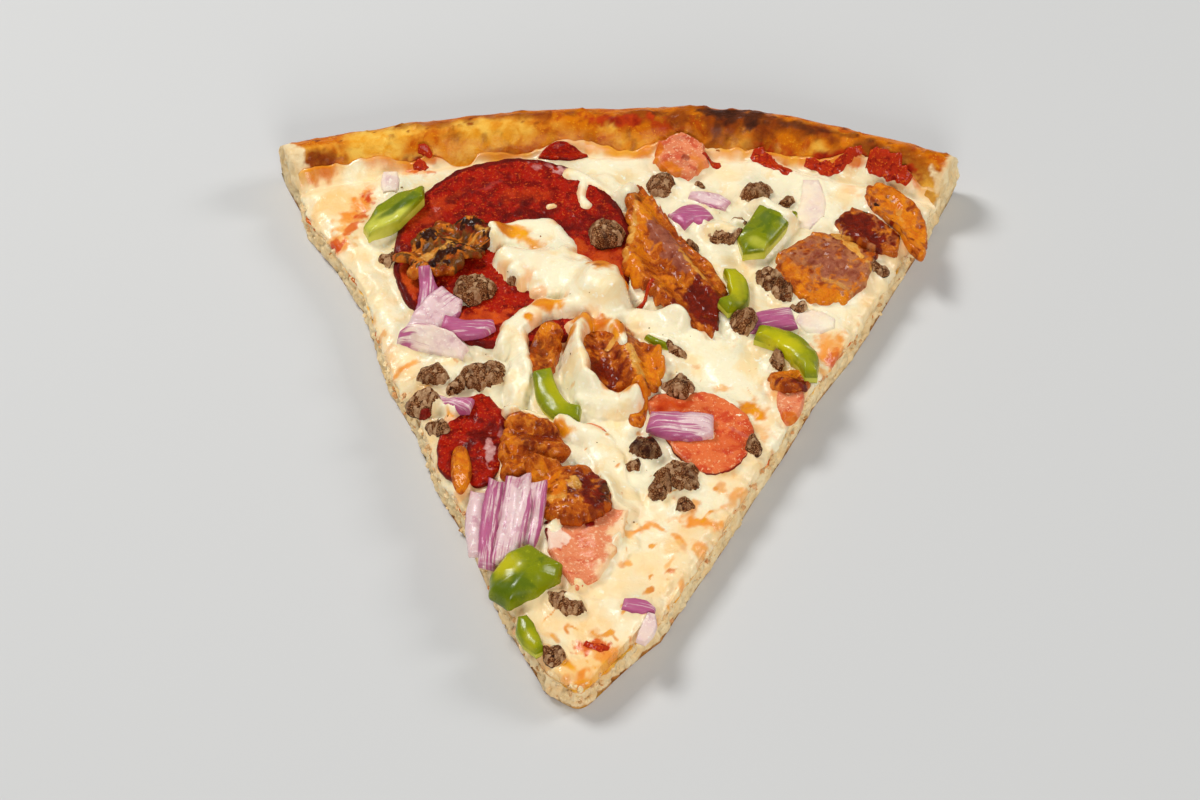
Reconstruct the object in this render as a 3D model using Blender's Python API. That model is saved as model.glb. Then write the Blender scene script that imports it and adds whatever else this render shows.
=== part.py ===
"""One slice of a thin-crust pizza with everything on it, cut from a 14 inch pie.

The slice lies flat on its dough, with its tip towards -Y and its crust towards +Y. Dough, sauce and
cheese are layers that run from cut to cut. Each topping is a closed solid that rests on what lies
under it, with a small gap, and strings of melted cheese run over some of them.
"""

import bpy
import numpy as np
from mathutils import Vector, noise

MM = 0.001

# The slice in plan: a wedge about the centre of the pie
PIE_CENTRE = np.array([0.0, -95.4]) * MM
HALF_ANGLE = np.radians(25.0)
TIP_RADIUS = 14.8 * MM
TIP_WIDENING = 0.06
TIP_HEADING = np.radians(-8.0)

# How far each cut strays from a straight line, at these distances from the centre of the pie
CUT_RADII = np.array([20, 41, 63, 77, 92, 106, 122, 131, 146, 157, 166, 180]) * MM
LEFT_STRAY = np.array([0.2, 1.6, 0.5, 1.5, 0.0, 0.7, -1.2, -2.1, -0.8, 1.3, 0.2, 0.6]) * MM
RIGHT_STRAY = np.array([-1.2, -1.3, -0.6, -0.8, -0.4, -0.8, 0.7, 0.7, 0.5, 0.5, 0.2, -0.3]) * MM

# The crust's outer radius and the height of its crest, at these headings from the middle of the slice
RIM_HEADINGS = np.radians([-25, -18, -9, 0, 10, 18, 25])
RIM_RADII = np.array([178.4, 177.0, 176.6, 177.0, 179.4, 179.2, 180.2]) * MM
RIM_CRESTS = np.array([13.8, 13.0, 12.8, 13.2, 14.6, 14.2, 14.0]) * MM

# Thickness of the layers, and the section of the rim
DOUGH_THICKNESS = 5.6 * MM
SAUCE_THICKNESS = 0.6 * MM
CHEESE_THICKNESS = 2.1 * MM
THINNEST_SHARE = 0.25
RIM_WIDTH = 15.0 * MM
RIM_UNDERCUT = 5.0 * MM
RIM_EDGE_LOW = 3.6 * MM
RIM_EDGE_HIGH = 6.6 * MM
CREST_SHARE = 0.55
SAUCE_SHORT_OF_RIM = 1.5 * MM
CHEESE_UP_THE_RIM = 2.0 * MM

# Unevenness: height and wavelength of the swells on the dough's top, its cuts and the cheese, how far the
# cheese's outer edge wanders, and the share by which toppings vary in thickness and crumbs in outline
DOUGH_RELIEF = 0.35 * MM
DOUGH_WAVE = 17 * MM
CUT_RELIEF = 0.5 * MM
CUT_WAVE = 6 * MM
CHEESE_RELIEF = 0.6 * MM
CHEESE_WAVE = 11 * MM
CHEESE_EDGE_STRAY = 1.5 * MM
TOPPING_LUMPS = 0.18
TOPPING_WAVE = 4 * MM
OUTLINE_BUMPS = 0.22

# A strip of onion: its thickness without its arch, and at its edges
ONION_MIDDLE = 1.5
ONION_EDGE = 1.1

# Clearance between solids, and how deep melted strings and small bits sink into the cheese
GAP = 0.3 * MM
STRING_SINK = 0.7 * MM
CRUMB_SINK = 0.9 * MM

# The height map that toppings are laid on
CELL = 0.4 * MM
MAP_CORNER = np.array([-84.0, -90.0]) * MM
MAP_CELLS = (420, 450)
SETTLING_STEPS = 12

for old in list(bpy.data.objects):
    bpy.data.objects.remove(old, do_unlink=True)

slice_parts = bpy.data.collections.new("pizza_slice")
bpy.context.scene.collection.children.link(slice_parts)
melted_strings = bpy.data.collections.new("melted_strings")
bpy.context.scene.collection.children.link(melted_strings)


def material(name, colour, roughness):
    """A Principled material of one colour, which is given in linear light."""
    made = bpy.data.materials.new(name)
    made.use_nodes = True
    shader = made.node_tree.nodes["Principled BSDF"]
    shader.inputs["Base Color"].default_value = (*colour, 1.0)
    shader.inputs["Roughness"].default_value = roughness
    shader.inputs["Metallic"].default_value = 0.0
    return made


BAKED_DOUGH = material("baked_dough", (0.58, 0.33, 0.10), 0.65)
TOMATO_SAUCE = material("tomato_sauce", (0.45, 0.06, 0.02), 0.35)
MELTED_CHEESE = material("melted_cheese", (0.86, 0.76, 0.52), 0.35)
SALAMI = material("salami", (0.32, 0.02, 0.01), 0.4)
SALAMI_PALE = material("salami_pale", (0.62, 0.13, 0.07), 0.4)
BACON = material("bacon", (0.34, 0.10, 0.03), 0.35)
BACON_FAT = material("bacon_fat", (0.55, 0.27, 0.09), 0.35)
HAM = material("ham", (0.72, 0.30, 0.22), 0.45)
GREEN_PEPPER = material("green_pepper", (0.20, 0.36, 0.02), 0.25)
RED_ONION = material("red_onion", (0.66, 0.42, 0.58), 0.3)
MINCED_BEEF = material("minced_beef", (0.13, 0.07, 0.04), 0.7)


class HeightMap:
    """The highest surface over each small square of the slice, read with its eight neighbours."""

    def __init__(self, floor):
        self.highest = np.full(MAP_CELLS, floor)
        self.spread = self.highest.copy()

    def cells(self, xy):
        steps = np.floor((xy - MAP_CORNER) / CELL).astype(int)
        return tuple(np.clip(steps[..., k], 1, MAP_CELLS[k] - 2) for k in range(2))

    def add(self, points, triangles):
        corners = points[triangles]
        inside = spread_over(corners[..., :2])
        samples = np.einsum("kc,tcd->tkd", inside, corners).reshape(-1, 3)
        np.maximum.at(self.highest, self.cells(samples[:, :2]), samples[:, 2])
        self.spread = self.highest.copy()
        for dx in (-1, 0, 1):
            for dy in (-1, 0, 1):
                shifted = np.roll(self.highest, (dx, dy), axis=(0, 1))
                self.spread = np.maximum(self.spread, shifted)

    def at(self, xy):
        return self.spread[self.cells(xy)]

    def copy(self):
        twin = HeightMap(0.0)
        twin.highest, twin.spread = self.highest.copy(), self.spread.copy()
        return twin


def spread_over(corners):
    """Weights of evenly spaced points in a triangle, close enough for the largest of these triangles."""
    sides = corners - np.roll(corners, 1, axis=1)
    count = max(3, int(np.ceil(np.linalg.norm(sides, axis=2).max() / CELL)))
    first, second = np.meshgrid(np.arange(count + 1), np.arange(count + 1))
    keep = first + second <= count
    first, second = first[keep], second[keep]
    return np.stack([first, second, count - first - second], axis=1) / count


def settle(xy, height, triangles, below):
    """Raises the heights until every triangle clears the map below it by the gap."""
    height = np.maximum(height, below.at(xy) + GAP)
    inside = spread_over(xy[triangles])
    share = inside / (inside**2).sum(axis=1, keepdims=True)
    clear = below.at(np.einsum("kc,tcd->tkd", inside, xy[triangles])) + GAP
    corners = np.broadcast_to(triangles[:, None, :], (*clear.shape, 3))
    for step in range(SETTLING_STEPS + 1):
        short = np.maximum(clear - np.einsum("kc,tc->tk", inside, height[triangles]), 0.0)
        last = step == SETTLING_STEPS
        rise = np.zeros_like(height)
        np.maximum.at(rise, corners, short[..., None] * (np.ones(3) if last else share))
        height = height + rise
    return height


solid_top = HeightMap(0.0)
topping_top = HeightMap(-1.0)


def wander(xy, wavelength, seed):
    """Smooth noise over the plan, between about -1 and 1."""
    places = np.column_stack([xy / wavelength, np.full(len(xy), seed * 7.31)])
    return np.array([1.6 * noise.noise(Vector(place)) for place in places])


def curve_through(knots, count, closed):
    """Catmull-Rom curve through the knots, as evenly stepped points."""
    knots = np.asarray(knots, float)
    if closed:
        padded = np.vstack([knots[-1:], knots, knots[:2]])
        steps = np.linspace(0, len(knots), count, endpoint=False)
    else:
        padded = np.vstack([2 * knots[0] - knots[1], knots, 2 * knots[-1] - knots[-2]])
        steps = np.linspace(0, len(knots) - 1, count)
    span = np.minimum(steps.astype(int), len(padded) - 4)
    f = (steps - span)[:, None]
    a, b, c, d = (padded[span + k] for k in range(4))
    return b + 0.5 * f * (c - a + f * (2 * a - 5 * b + 4 * c - d + f * (3 * (b - c) + d - a)))


def disc_plan(outline, spokes, rings):
    """Rings of points between a middle and an outline. Gives points, triangles, border and depth."""
    edge = curve_through(outline, spokes, closed=True)
    shares = np.sqrt(np.linspace(0, 1, rings + 1))[1:]
    xy = np.vstack([np.zeros((1, 2)), *(share * edge for share in shares)])
    turn = np.arange(spokes)
    after = (turn + 1) % spokes
    triangles = [np.column_stack([np.zeros_like(turn), 1 + turn, 1 + after])]
    for ring in range(rings - 1):
        near, far = 1 + ring * spokes, 1 + (ring + 1) * spokes
        triangles.append(np.column_stack([near + turn, far + turn, far + after]))
        triangles.append(np.column_stack([near + turn, far + after, near + after]))
    depth = 1 - np.concatenate([[0.0], np.repeat(shares, spokes)])
    return xy, np.vstack(triangles), 1 + (rings - 1) * spokes + turn, depth


def grid_triangles(rows, columns):
    """Triangles and border of a grid of points whose rows run one way and columns to their right."""
    index = np.arange(rows * columns).reshape(rows, columns)
    corners = (index[:-1, :-1], index[:-1, 1:], index[1:, 1:], index[1:, :-1])
    a, b, c, d = (corner.ravel() for corner in corners)
    triangles = np.vstack([np.column_stack([a, b, c]), np.column_stack([a, c, d])])
    border = np.concatenate([index[0], index[1:, -1], index[-1, -2::-1], index[-2:0:-1, 0]])
    return triangles, border


def strip_plan(path, widths, rows, columns):
    """A strip of changing width along a curve. Gives points, triangles, border and depth."""
    line = curve_through(path, rows, closed=False)
    along = np.gradient(line, axis=0)
    aside = np.column_stack([along[:, 1], -along[:, 0]]) / np.linalg.norm(along, axis=1)[:, None]
    half = 0.5 * np.interp(np.linspace(0, 1, rows), np.linspace(0, 1, len(widths)), widths)
    across = np.linspace(-1, 1, columns)
    xy = line[:, None] + aside[:, None] * (half[:, None] * across)[..., None]
    ends = 1 - np.abs(np.linspace(-1, 1, rows))[:, None] ** 6
    depth = (ends * (1 - across**2)).ravel()
    triangles, border = grid_triangles(rows, columns)
    return xy.reshape(-1, 2), triangles, border, depth


def counterclockwise(xy, triangles, border):
    """Turns the triangles and the border so that both run counterclockwise, seen from above."""
    a, b, c = (xy[triangles[:, k]] for k in range(3))
    if np.sum((b - a)[:, 0] * (c - a)[:, 1] - (b - a)[:, 1] * (c - a)[:, 0]) < 0:
        triangles = triangles[:, ::-1]
    x, y = xy[border].T
    if np.sum(x * np.roll(y, -1) - y * np.roll(x, -1)) < 0:
        border = border[::-1]
    return triangles, border


def solid(name, look, xy, triangles, border, under, top, belly=None, home=slice_parts):
    """A closed piece between two heights over the same plan.

    A belly is how far each point of a middle row on its wall stands out, and without it the wall is plain.
    """
    triangles, border = counterclockwise(xy, triangles, border)
    count, edge = len(xy), len(border)
    points = np.vstack([np.column_stack([xy, under]), np.column_stack([xy, top])])
    rows = [border, count + border]
    if belly is not None:
        along = np.roll(xy[border], -1, axis=0) - np.roll(xy[border], 1, axis=0)
        outward = np.column_stack([along[:, 1], -along[:, 0]])
        outward /= np.linalg.norm(outward, axis=1)[:, None]
        middle = xy[border] + outward * belly[:, None]
        points = np.vstack([points, np.column_stack([middle, 0.5 * (under + top)[border]])])
        rows.insert(1, 2 * count + np.arange(edge))
    here, after = np.arange(edge), (np.arange(edge) + 1) % edge
    walls = [
        np.column_stack([low[here], low[after], high[after], high[here]])
        for low, high in zip(rows, rows[1:])
    ]
    faces = [*triangles[:, ::-1].tolist(), *(count + triangles).tolist(), *np.vstack(walls).tolist()]
    mesh = bpy.data.meshes.new(name)
    mesh.from_pydata(points.tolist(), [], faces)
    mesh.update()
    mesh.materials.append(look)
    mesh.shade_smooth()
    mesh.set_sharp_from_angle(angle=np.radians(40))
    piece = bpy.data.objects.new(name, mesh)
    home.objects.link(piece)
    return np.column_stack([xy, top])


def wedge(radius_share, across, outer_radius, inset):
    """Plan of the slice: share 0 at the tip and 1 at the outer radius, across -1 at left and 1 at right."""
    heading = across * HALF_ANGLE
    tip = TIP_RADIUS + TIP_WIDENING * (heading - TIP_HEADING) ** 2
    radius = tip + inset + radius_share * (outer_radius - tip - inset)
    left = np.interp(radius, CUT_RADII, LEFT_STRAY)
    right = np.interp(radius, CUT_RADII, RIGHT_STRAY)
    stray = np.where(across < 0, -left, right) * np.abs(across) ** 3
    heading = heading + (stray - inset * across) / radius
    return PIE_CENTRE + radius[..., None] * np.stack([np.sin(heading), np.cos(heading)], axis=-1)


def rim_radius(across):
    return np.interp(across * HALF_ANGLE, RIM_HEADINGS, RIM_RADII)


def dough():
    """The base with its raised rim: flat underneath, and rounded where the rim turns under."""
    flat_rows, rim_rows, columns = 25, 11, 13
    across = np.linspace(-1, 1, columns)
    inner = (rim_radius(across) - RIM_WIDTH)[None, :]
    flat = wedge(*np.broadcast_arrays(np.linspace(0, 1, flat_rows)[:, None], across, inner), 0.0)
    turn = np.linspace(0, np.pi, rim_rows)[1:]
    outward = 0.5 * (1 - np.cos(turn))
    rim = wedge(*np.broadcast_arrays(1 + outward[:, None] * RIM_WIDTH / inner, across, inner), 0.0)
    xy = np.concatenate([flat, rim]).reshape(-1, 2)
    from_foot = np.concatenate([np.zeros(flat_rows), outward * RIM_WIDTH])[:, None]
    crest = np.interp(across * HALF_ANGLE, RIM_HEADINGS, RIM_CRESTS)
    share = from_foot / RIM_WIDTH
    inner_face = 0.5 - 0.5 * np.cos(np.pi * np.minimum(share / CREST_SHARE, 1.0))
    outer_face = np.sqrt(np.clip(1 - ((share - CREST_SHARE) / (1 - CREST_SHARE)) ** 2, 0, 1))
    risen = np.where(share < CREST_SHARE, DOUGH_THICKNESS + (crest - DOUGH_THICKNESS) * inner_face,
                     RIM_EDGE_HIGH + (crest - RIM_EDGE_HIGH) * outer_face)
    top = risen.ravel() + DOUGH_RELIEF * wander(xy, DOUGH_WAVE, 1)
    beyond = np.clip((from_foot - (RIM_WIDTH - RIM_UNDERCUT)) / RIM_UNDERCUT, 0, 1)
    under = (RIM_EDGE_LOW * (1 - np.sqrt(1 - beyond**2)) * np.ones(columns)).ravel()
    triangles, border = grid_triangles(flat_rows + rim_rows - 1, columns)
    belly = CUT_RELIEF * wander(xy[border], CUT_WAVE, 2)
    solid_top.add(solid("dough", BAKED_DOUGH, xy, triangles, border, under, top, belly), triangles)


def layer(name, look, outer_radius, inset, rows, columns, thickness, relief, thin_from):
    """A spread layer from cut to cut, laid on the layer below and thinner towards its outer edge."""
    across = np.linspace(-1, 1, columns)
    outer = outer_radius(across)[None, :]
    xy = wedge(*np.broadcast_arrays(np.linspace(0, 1, rows)[:, None], across, outer), inset).reshape(-1, 2)
    triangles, border = grid_triangles(rows, columns)
    under = settle(xy, np.zeros(len(xy)), triangles, solid_top)
    from_centre = np.linalg.norm(xy - PIE_CENTRE, axis=1)
    thin = np.clip((outer.mean() - from_centre) / thin_from, THINNEST_SHARE, 1.0)
    top = under + (thickness + relief * wander(xy, CHEESE_WAVE, 3)) * thin
    solid_top.add(solid(name, look, xy, triangles, border, under, top), triangles)


def sauce():
    def edge(across):
        return rim_radius(across) - RIM_WIDTH - SAUCE_SHORT_OF_RIM

    layer("sauce", TOMATO_SAUCE, edge, 0.2 * MM, 15, 7, SAUCE_THICKNESS, 0.0, 1.0 * MM)


def cheese():
    def edge(across):
        ragged = wander(np.column_stack([across, 0 * across]), 0.3, 4)
        return rim_radius(across) - RIM_WIDTH + CHEESE_UP_THE_RIM + CHEESE_EDGE_STRAY * ragged

    layer("cheese", MELTED_CHEESE, edge, 0.4 * MM, 29, 13, CHEESE_THICKNESS, CHEESE_RELIEF, 6.0 * MM)


def lay(name, look, at, plan, thickness, edge_share, lean=(0.0, 0.0), ruffle=0.0, wave=(0, 6), seed=0):
    """Rests a topping on what is under it.

    Its thickness is full in the middle and falls to edge_share of it at the outline. It may lean, in
    millimetres of rise for each millimetre along X and Y, and be ruffled in waves along a direction.
    """
    offsets, triangles, border, depth = plan
    xy = (offsets + at) * MM
    rest = np.median(solid_top.at(xy)) + GAP
    heading, length = wave
    along = offsets @ np.array([np.cos(np.radians(heading)), np.sin(np.radians(heading))])
    folds = ruffle * MM * (0.5 + 0.5 * np.sin(2 * np.pi * along / length + seed))
    wanted = rest + (offsets @ np.array(lean)) * MM + folds
    under = settle(xy, wanted, triangles, solid_top)
    lumps = 1 + TOPPING_LUMPS * wander(xy, TOPPING_WAVE, seed)
    full = thickness * MM * (edge_share + (1 - edge_share) * np.sqrt(np.clip(depth, 0, 1)))
    top = solid(name, look, xy, triangles, border, under, under + full * lumps)
    solid_top.add(top, triangles)
    topping_top.add(top, triangles)


def circle(radius, squash=1.0, sides=12):
    turn = np.linspace(0, 2 * np.pi, sides, endpoint=False)
    return np.column_stack([radius * np.cos(turn), radius * squash * np.sin(turn)])


def lumpy_outline(width, length, heading, seed):
    """An uneven round of nine points, for crumbs of beef and other lumps."""
    turn = np.linspace(0, 2 * np.pi, 9, endpoint=False)
    bumps = 1 + OUTLINE_BUMPS * wander(np.column_stack([np.cos(turn), np.sin(turn)]), 0.9, seed)
    shape = np.column_stack([0.5 * width * np.cos(turn), 0.5 * length * np.sin(turn)]) * bumps[:, None]
    c, s = np.cos(np.radians(heading)), np.sin(np.radians(heading))
    return shape @ np.array([[c, s], [-s, c]])


def salami():
    """Thin round slices: one whole and cupped, the others partly under cheese and toppings."""
    lay("salami_large", SALAMI, (-21.3, 33.8), disc_plan(circle(26.0, 1.08), 28, 4), 1.6, 0.9, lean=(0, 0.05))
    near = [(-6, -9), (3, -12), (6, -4), (6, 6), (1, 13), (-5, 9), (-7, 1)]
    lay("salami_left", SALAMI, (-26.5, -20.0), disc_plan(near, 14, 2), 1.5, 0.8, seed=2)
    right = [(-12, 7), (-9.5, -2), (-2, -12.5), (5.5, -11), (9.5, -4), (8, 3), (0, 9)]
    lay("salami_right", SALAMI_PALE, (21.5, -14.0), disc_plan(right, 18, 3), 1.4, 0.8, seed=3)
    rim = [(-5, 0), (-3, -2.2), (3, -2.4), (5.5, 0), (2, 2.4), (-2, 2.4)]
    lay("salami_at_rim", SALAMI, (-12.5, 66.5), disc_plan(rim, 12, 2), 1.5, 0.8, seed=4)


def ham():
    near = [(-8.5, 5), (-6, -4), (-1, -11.5), (4, -6.5), (7, 1), (8.5, 9), (1, 11.5), (-6, 9.5)]
    lay("ham_near_tip", HAM, (-2.5, -47.5), disc_plan(near, 16, 2), 1.6, 0.8, ruffle=0.8, wave=(20, 9))
    rim = [(-6, -1), (-3, -5.5), (2, -6), (6, -1.5), (5, 4.5), (0, 6), (-5, 4.5)]
    lay("ham_on_crust", HAM, (14.0, 65.0), disc_plan(rim, 14, 2), 2.4, 0.6, seed=1)
    edge = [(-2.4, -1), (-0.5, -5), (2, -2), (2.6, 3.5), (0, 5), (-2.6, 4)]
    lay("ham_at_edge", HAM, (38.8, -7.0), disc_plan(edge, 10, 1), 1.6, 0.7, seed=2)


def bacon():
    """Crisp ruffled pieces of rashers, some of them standing well above the cheese."""
    far_left = [(-6.5, -8), (1, -6), (8, 0.5), (10, 7.5), (1.5, 8.5), (-4.5, 5), (-9.5, -2)]
    lay("bacon_far_left", BACON, (-36.0, 32.0), disc_plan(far_left, 18, 3), 2.6, 0.6,
        ruffle=2.4, wave=(60, 6.5), seed=1)
    back = [(-10.5, 8), (-11, -4.5), (-2.5, -14.5), (6.5, -21), (10.5, -13.5), (9, -4.5), (0.5, 7),
            (-6.5, 18.5), (-12, 20.5)]
    lay("bacon_back", BACON, (14.0, 33.5), disc_plan(back, 24, 3), 2.2, 0.7,
        lean=(-0.06, 0.03), ruffle=1.8, wave=(35, 9), seed=2)
    right = [(-5.5, 8.5), (-13, 2), (-13.5, -5.5), (-6.5, -13.5), (2, -14), (6, -6), (8, 3), (2.5, 9)]
    lay("bacon_right", BACON_FAT, (49.0, 34.0), disc_plan(right, 18, 3), 2.0, 0.75,
        ruffle=0.7, wave=(-50, 8), seed=3)
    dark = [(-6.5, 2.5), (-5, -3.5), (1, -6.5), (6.5, -6), (7, -1), (2, 5), (-3, 7)]
    lay("bacon_right_dark", BACON, (55.0, 44.0), disc_plan(dark, 14, 2), 2.0, 0.75, seed=4)
    far = [(-5, 3.5), (0, -4), (5, -11), (6.5, -7), (5.5, 2), (0.5, 9), (-4, 11.5), (-6.5, 8.5)]
    lay("bacon_far_right", BACON_FAT, (61.5, 48.0), disc_plan(far, 14, 2), 1.9, 0.75, seed=5)
    mid_left = [(-3.5, -5.5), (1.5, -6.5), (3.5, 1.5), (3, 6.5), (-0.5, 5.5), (-2.5, 0.5)]
    lay("bacon_mid_left", BACON, (-13.5, 5.0), disc_plan(mid_left, 12, 2), 2.4, 0.7, seed=6)
    mid = [(-7, -8.5), (0.5, -7.5), (6, -9.5), (9, -1), (5, 5), (-3, 9.5), (-9, 5.5), (-9, -2)]
    lay("bacon_mid", BACON, (3.0, 3.0), disc_plan(mid, 18, 3), 2.2, 0.7,
        ruffle=2.0, wave=(15, 9), seed=7)
    near_left = [(-6, -8), (1, -5.5), (6.5, -1.5), (4, 5), (-1.5, 8), (-6, 7.5), (-7, 0)]
    lay("bacon_near_left", BACON_FAT, (-13.5, -22.5), disc_plan(near_left, 16, 3), 2.4, 0.6,
        ruffle=1.8, wave=(80, 7), seed=8)
    near = [(-6.5, -2.5), (-3, -6.5), (3.5, -7.5), (8.5, -4), (9.5, 0.5), (6, 6.5), (-1, 7.5),
            (-8, 6.5)]
    lay("bacon_near", BACON, (-7.0, -35.0), disc_plan(near, 18, 3), 3.4, 0.45,
        ruffle=1.4, wave=(-30, 8), seed=9)
    bit_back = [(-2.5, -4.8), (1.5, -4.2), (4.5, 1), (0.5, 5), (-2.8, 3), (-4.5, -1.5)]
    lay("bacon_bit_back", BACON_FAT, (-1.0, 23.0), disc_plan(bit_back, 12, 2), 2.2, 0.7, seed=10)
    bit_right = [(-3.2, -2), (0, -3.2), (3.6, -1), (4, 2.8), (0, 3.2), (-4, 2)]
    lay("bacon_bit_right", BACON_FAT, (38.5, -1.5), disc_plan(bit_right, 10, 2), 2.6, 0.6, seed=11)


def onion(name, at, path, widths, arch, seed):
    """A strip of one onion ring: thin, curved across its width and pointed at the ends."""
    thickness = ONION_MIDDLE + arch
    lay(name, RED_ONION, at, strip_plan(path, widths, 9, 3), thickness, ONION_EDGE / thickness, seed=seed)


def red_onion():
    onion("onion_left_back", (-39.0, 18.6), [(-1, -6.5), (0.5, 0), (-1, 6.5)], [1, 4, 4.6, 3, 1], 0.9, 1)
    onion("onion_left_broad", (-36.6, 13.6), [(-5.5, -5), (0, 0), (3, 5.5)], [2, 6, 8, 6, 2], 1.2, 2)
    onion("onion_left_purple", (-29.6, 9.6), [(-5.5, 1), (0, 0), (5.5, 1.5)], [2, 4, 4.5, 3, 1], 0.8, 3)
    onion("onion_left_front", (-37.0, 6.0), [(-7.5, 2), (0, 0.6), (7.2, -2)], [2, 5, 6, 5, 2], 1.0, 4)
    onion("onion_back_purple", (17.0, 48.0), [(-3.4, -2.8), (0, 0.5), (3.6, -2)], [4, 5.5, 5.5, 3], 0.9, 5)
    onion("onion_back_pale", (20.5, 53.0), [(-4.3, 1), (0, 0), (4.3, -2)], [1, 4, 4.5, 2], 0.6, 6)
    onion("onion_right", (34.0, 16.0), [(-5, -1.5), (0, 0), (5.5, 1.5)], [4, 6.5, 7, 4], 1.2, 7)
    onion("onion_right_pale", (44.0, 17.0), [(-3.4, 1), (0, 0), (3.6, -0.5)], [4, 7, 6.5, 3], 0.5, 8)
    onion("onion_middle", (16.0, -15.5), [(-6.6, 1.2), (0, 0), (6.8, 0)], [3, 6.5, 6.8, 3], 1.3, 9)
    onion("onion_ring_left", (-32.0, -10.5), [(-4.8, 2.6), (-1, -0.4), (4.6, -2)], [1.5, 3.4, 3.8, 2.4],
          0.9, 10)
    onion("onion_near_white", (-24.8, -42.0), [(0.6, -8), (0, 0), (0.2, 8)], [1, 2.8, 3, 1], 1.0, 11)
    onion("onion_near_striped", (-21.0, -42.5), [(-0.6, -11), (0, 0), (0.6, 11)], [1.2, 3.6, 3.8, 1.4],
          1.4, 12)
    onion("onion_near_broad", (-17.2, -42.5), [(-1.8, -10.8), (0.4, 0), (0.6, 11)], [1.5, 4, 4.6, 2],
          1.0, 13)
    onion("onion_near_pink", (-13.2, -41.0), [(-0.8, -7), (0.2, 0), (0.8, 7.2)], [1.2, 3, 3.4, 1.5], 0.8, 14)
    onion("onion_far_right", (43.0, 52.5), [(-1.4, -7.6), (0.4, 0), (0, 8)], [3.5, 6, 5.5, 3], 0.3, 15)


def green_pepper():
    """Diced and sliced green pepper, its skin side up and arched."""
    far_left = [(-5, -6.8), (1.5, -3.6), (6.3, 3.2), (6, 7), (0.5, 6), (-4, 2), (-6.4, -4)]
    lay("pepper_far_left", GREEN_PEPPER, (-48.0, 43.5), disc_plan(far_left, 16, 2), 4.0, 0.6, seed=1)
    back = [(-4.8, -8), (-0.6, -7.2), (3.2, -1), (6.4, 4.6), (-1.2, 8), (-4, 2.6), (-6.5, -3)]
    lay("pepper_back", GREEN_PEPPER, (33.5, 42.5), disc_plan(back, 16, 2), 4.0, 0.65, seed=2)
    near = [(-7.4, 0.5), (-7.4, -4.5), (-3.5, -7.8), (2, -5), (6.5, 0), (7, 3.6), (0, 8), (-4.5, 5.5)]
    lay("pepper_near", GREEN_PEPPER, (-13.5, -57.0), disc_plan(near, 18, 2), 5.0, 0.5, seed=3)
    lay("pepper_behind_bacon", GREEN_PEPPER, (26.0, 23.0),
        strip_plan([(-1.8, -6), (1.6, -2), (1.2, 3), (-0.6, 6.2)], [2, 4, 4.4, 2], 9, 3), 3.2, 0.5, seed=4)
    lay("pepper_right", GREEN_PEPPER, (36.8, 5.5),
        strip_plan([(-5.5, 5.5), (0.5, 4), (4.8, -0.5), (6.2, -6.6)], [2.4, 5.6, 6.2, 2], 11, 4), 3.8, 0.5,
        seed=5)
    lay("pepper_middle", GREEN_PEPPER, (-10.2, -8.0),
        strip_plan([(-3.2, 6.4), (-1.4, 0), (1.6, -4), (5.4, -4.4)], [3.5, 5, 5, 2.4], 11, 3), 3.2, 0.5,
        seed=6)
    lay("pepper_at_tip", GREEN_PEPPER, (-11.6, -70.5),
        strip_plan([(-2.4, 4), (-1, 0), (1.6, -4.2)], [2, 4, 4, 2], 7, 3), 2.6, 0.6, seed=7)


def beef(name, at, width, length, height, heading, seed):
    """One crumb of fried minced beef."""
    plan = disc_plan(lumpy_outline(width, length, heading, seed), 12, 2)
    lay(name, MINCED_BEEF, at, plan, height, 0.45, seed=seed)


def minced_beef():
    beef("beef_by_onion", (-28.8, 21.5), 9.4, 8.6, 4.2, 20, 1)
    beef("beef_ball", (-1.4, 39.2), 7.8, 6.6, 4.6, 0, 2)
    beef("beef_back", (9.8, 56.4), 6.6, 6.6, 3.6, 60, 3)
    beef("beef_far", (30.9, 55.0), 7.2, 5.8, 4.0, 10, 4)
    beef("beef_veil", (23.5, 42.0), 9.8, 6.6, 3.2, -30, 5)
    beef("beef_behind_bacon", (28.6, 14.6), 6.4, 6.6, 4.0, 40, 6)
    beef("beef_middle", (15.4, -4.0), 7.2, 6.0, 4.2, 0, 7)
    beef("beef_left_large", (-26.2, -1.8), 10.0, 6.4, 4.4, 15, 8)
    beef("beef_left_round", (-36.1, -2.4), 6.6, 5.2, 4.0, 0, 9)
    beef("beef_left_edge", (-37.6, -10.4), 5.8, 7.0, 3.6, 80, 10)
    beef("beef_dark", (9.4, -21.2), 6.4, 7.4, 4.6, 70, 11)
    beef("beef_near_right", (15.6, -28.4), 8.0, 6.6, 4.4, -20, 12)
    beef("beef_near", (-5.6, -62.0), 9.0, 4.8, 3.2, -15, 13)
    beef("beef_right", (33.6, 28.6), 5.4, 7.6, 3.6, 30, 14)


def sunken(xy, triangles, depth):
    """Underside of something that sinks into the cheese, but stays above its sauce and the toppings."""
    in_cheese = settle(xy, bare_cheese.at(xy) - depth, triangles, under_cheese)
    return settle(xy, in_cheese, triangles, topping_top)


def string(name, path, widths, thickness, rows):
    """A run of melted cheese that sinks into the cheese and passes over the toppings on its way."""
    xy, triangles, border, depth = strip_plan(path, widths, rows, 4)
    xy = xy * MM
    under = sunken(xy, triangles, STRING_SINK)
    full = thickness * MM * (0.45 + 0.55 * np.sqrt(np.clip(depth, 0, 1)))
    solid(name, MELTED_CHEESE, xy, triangles, border, under, under + full, home=melted_strings)


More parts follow.
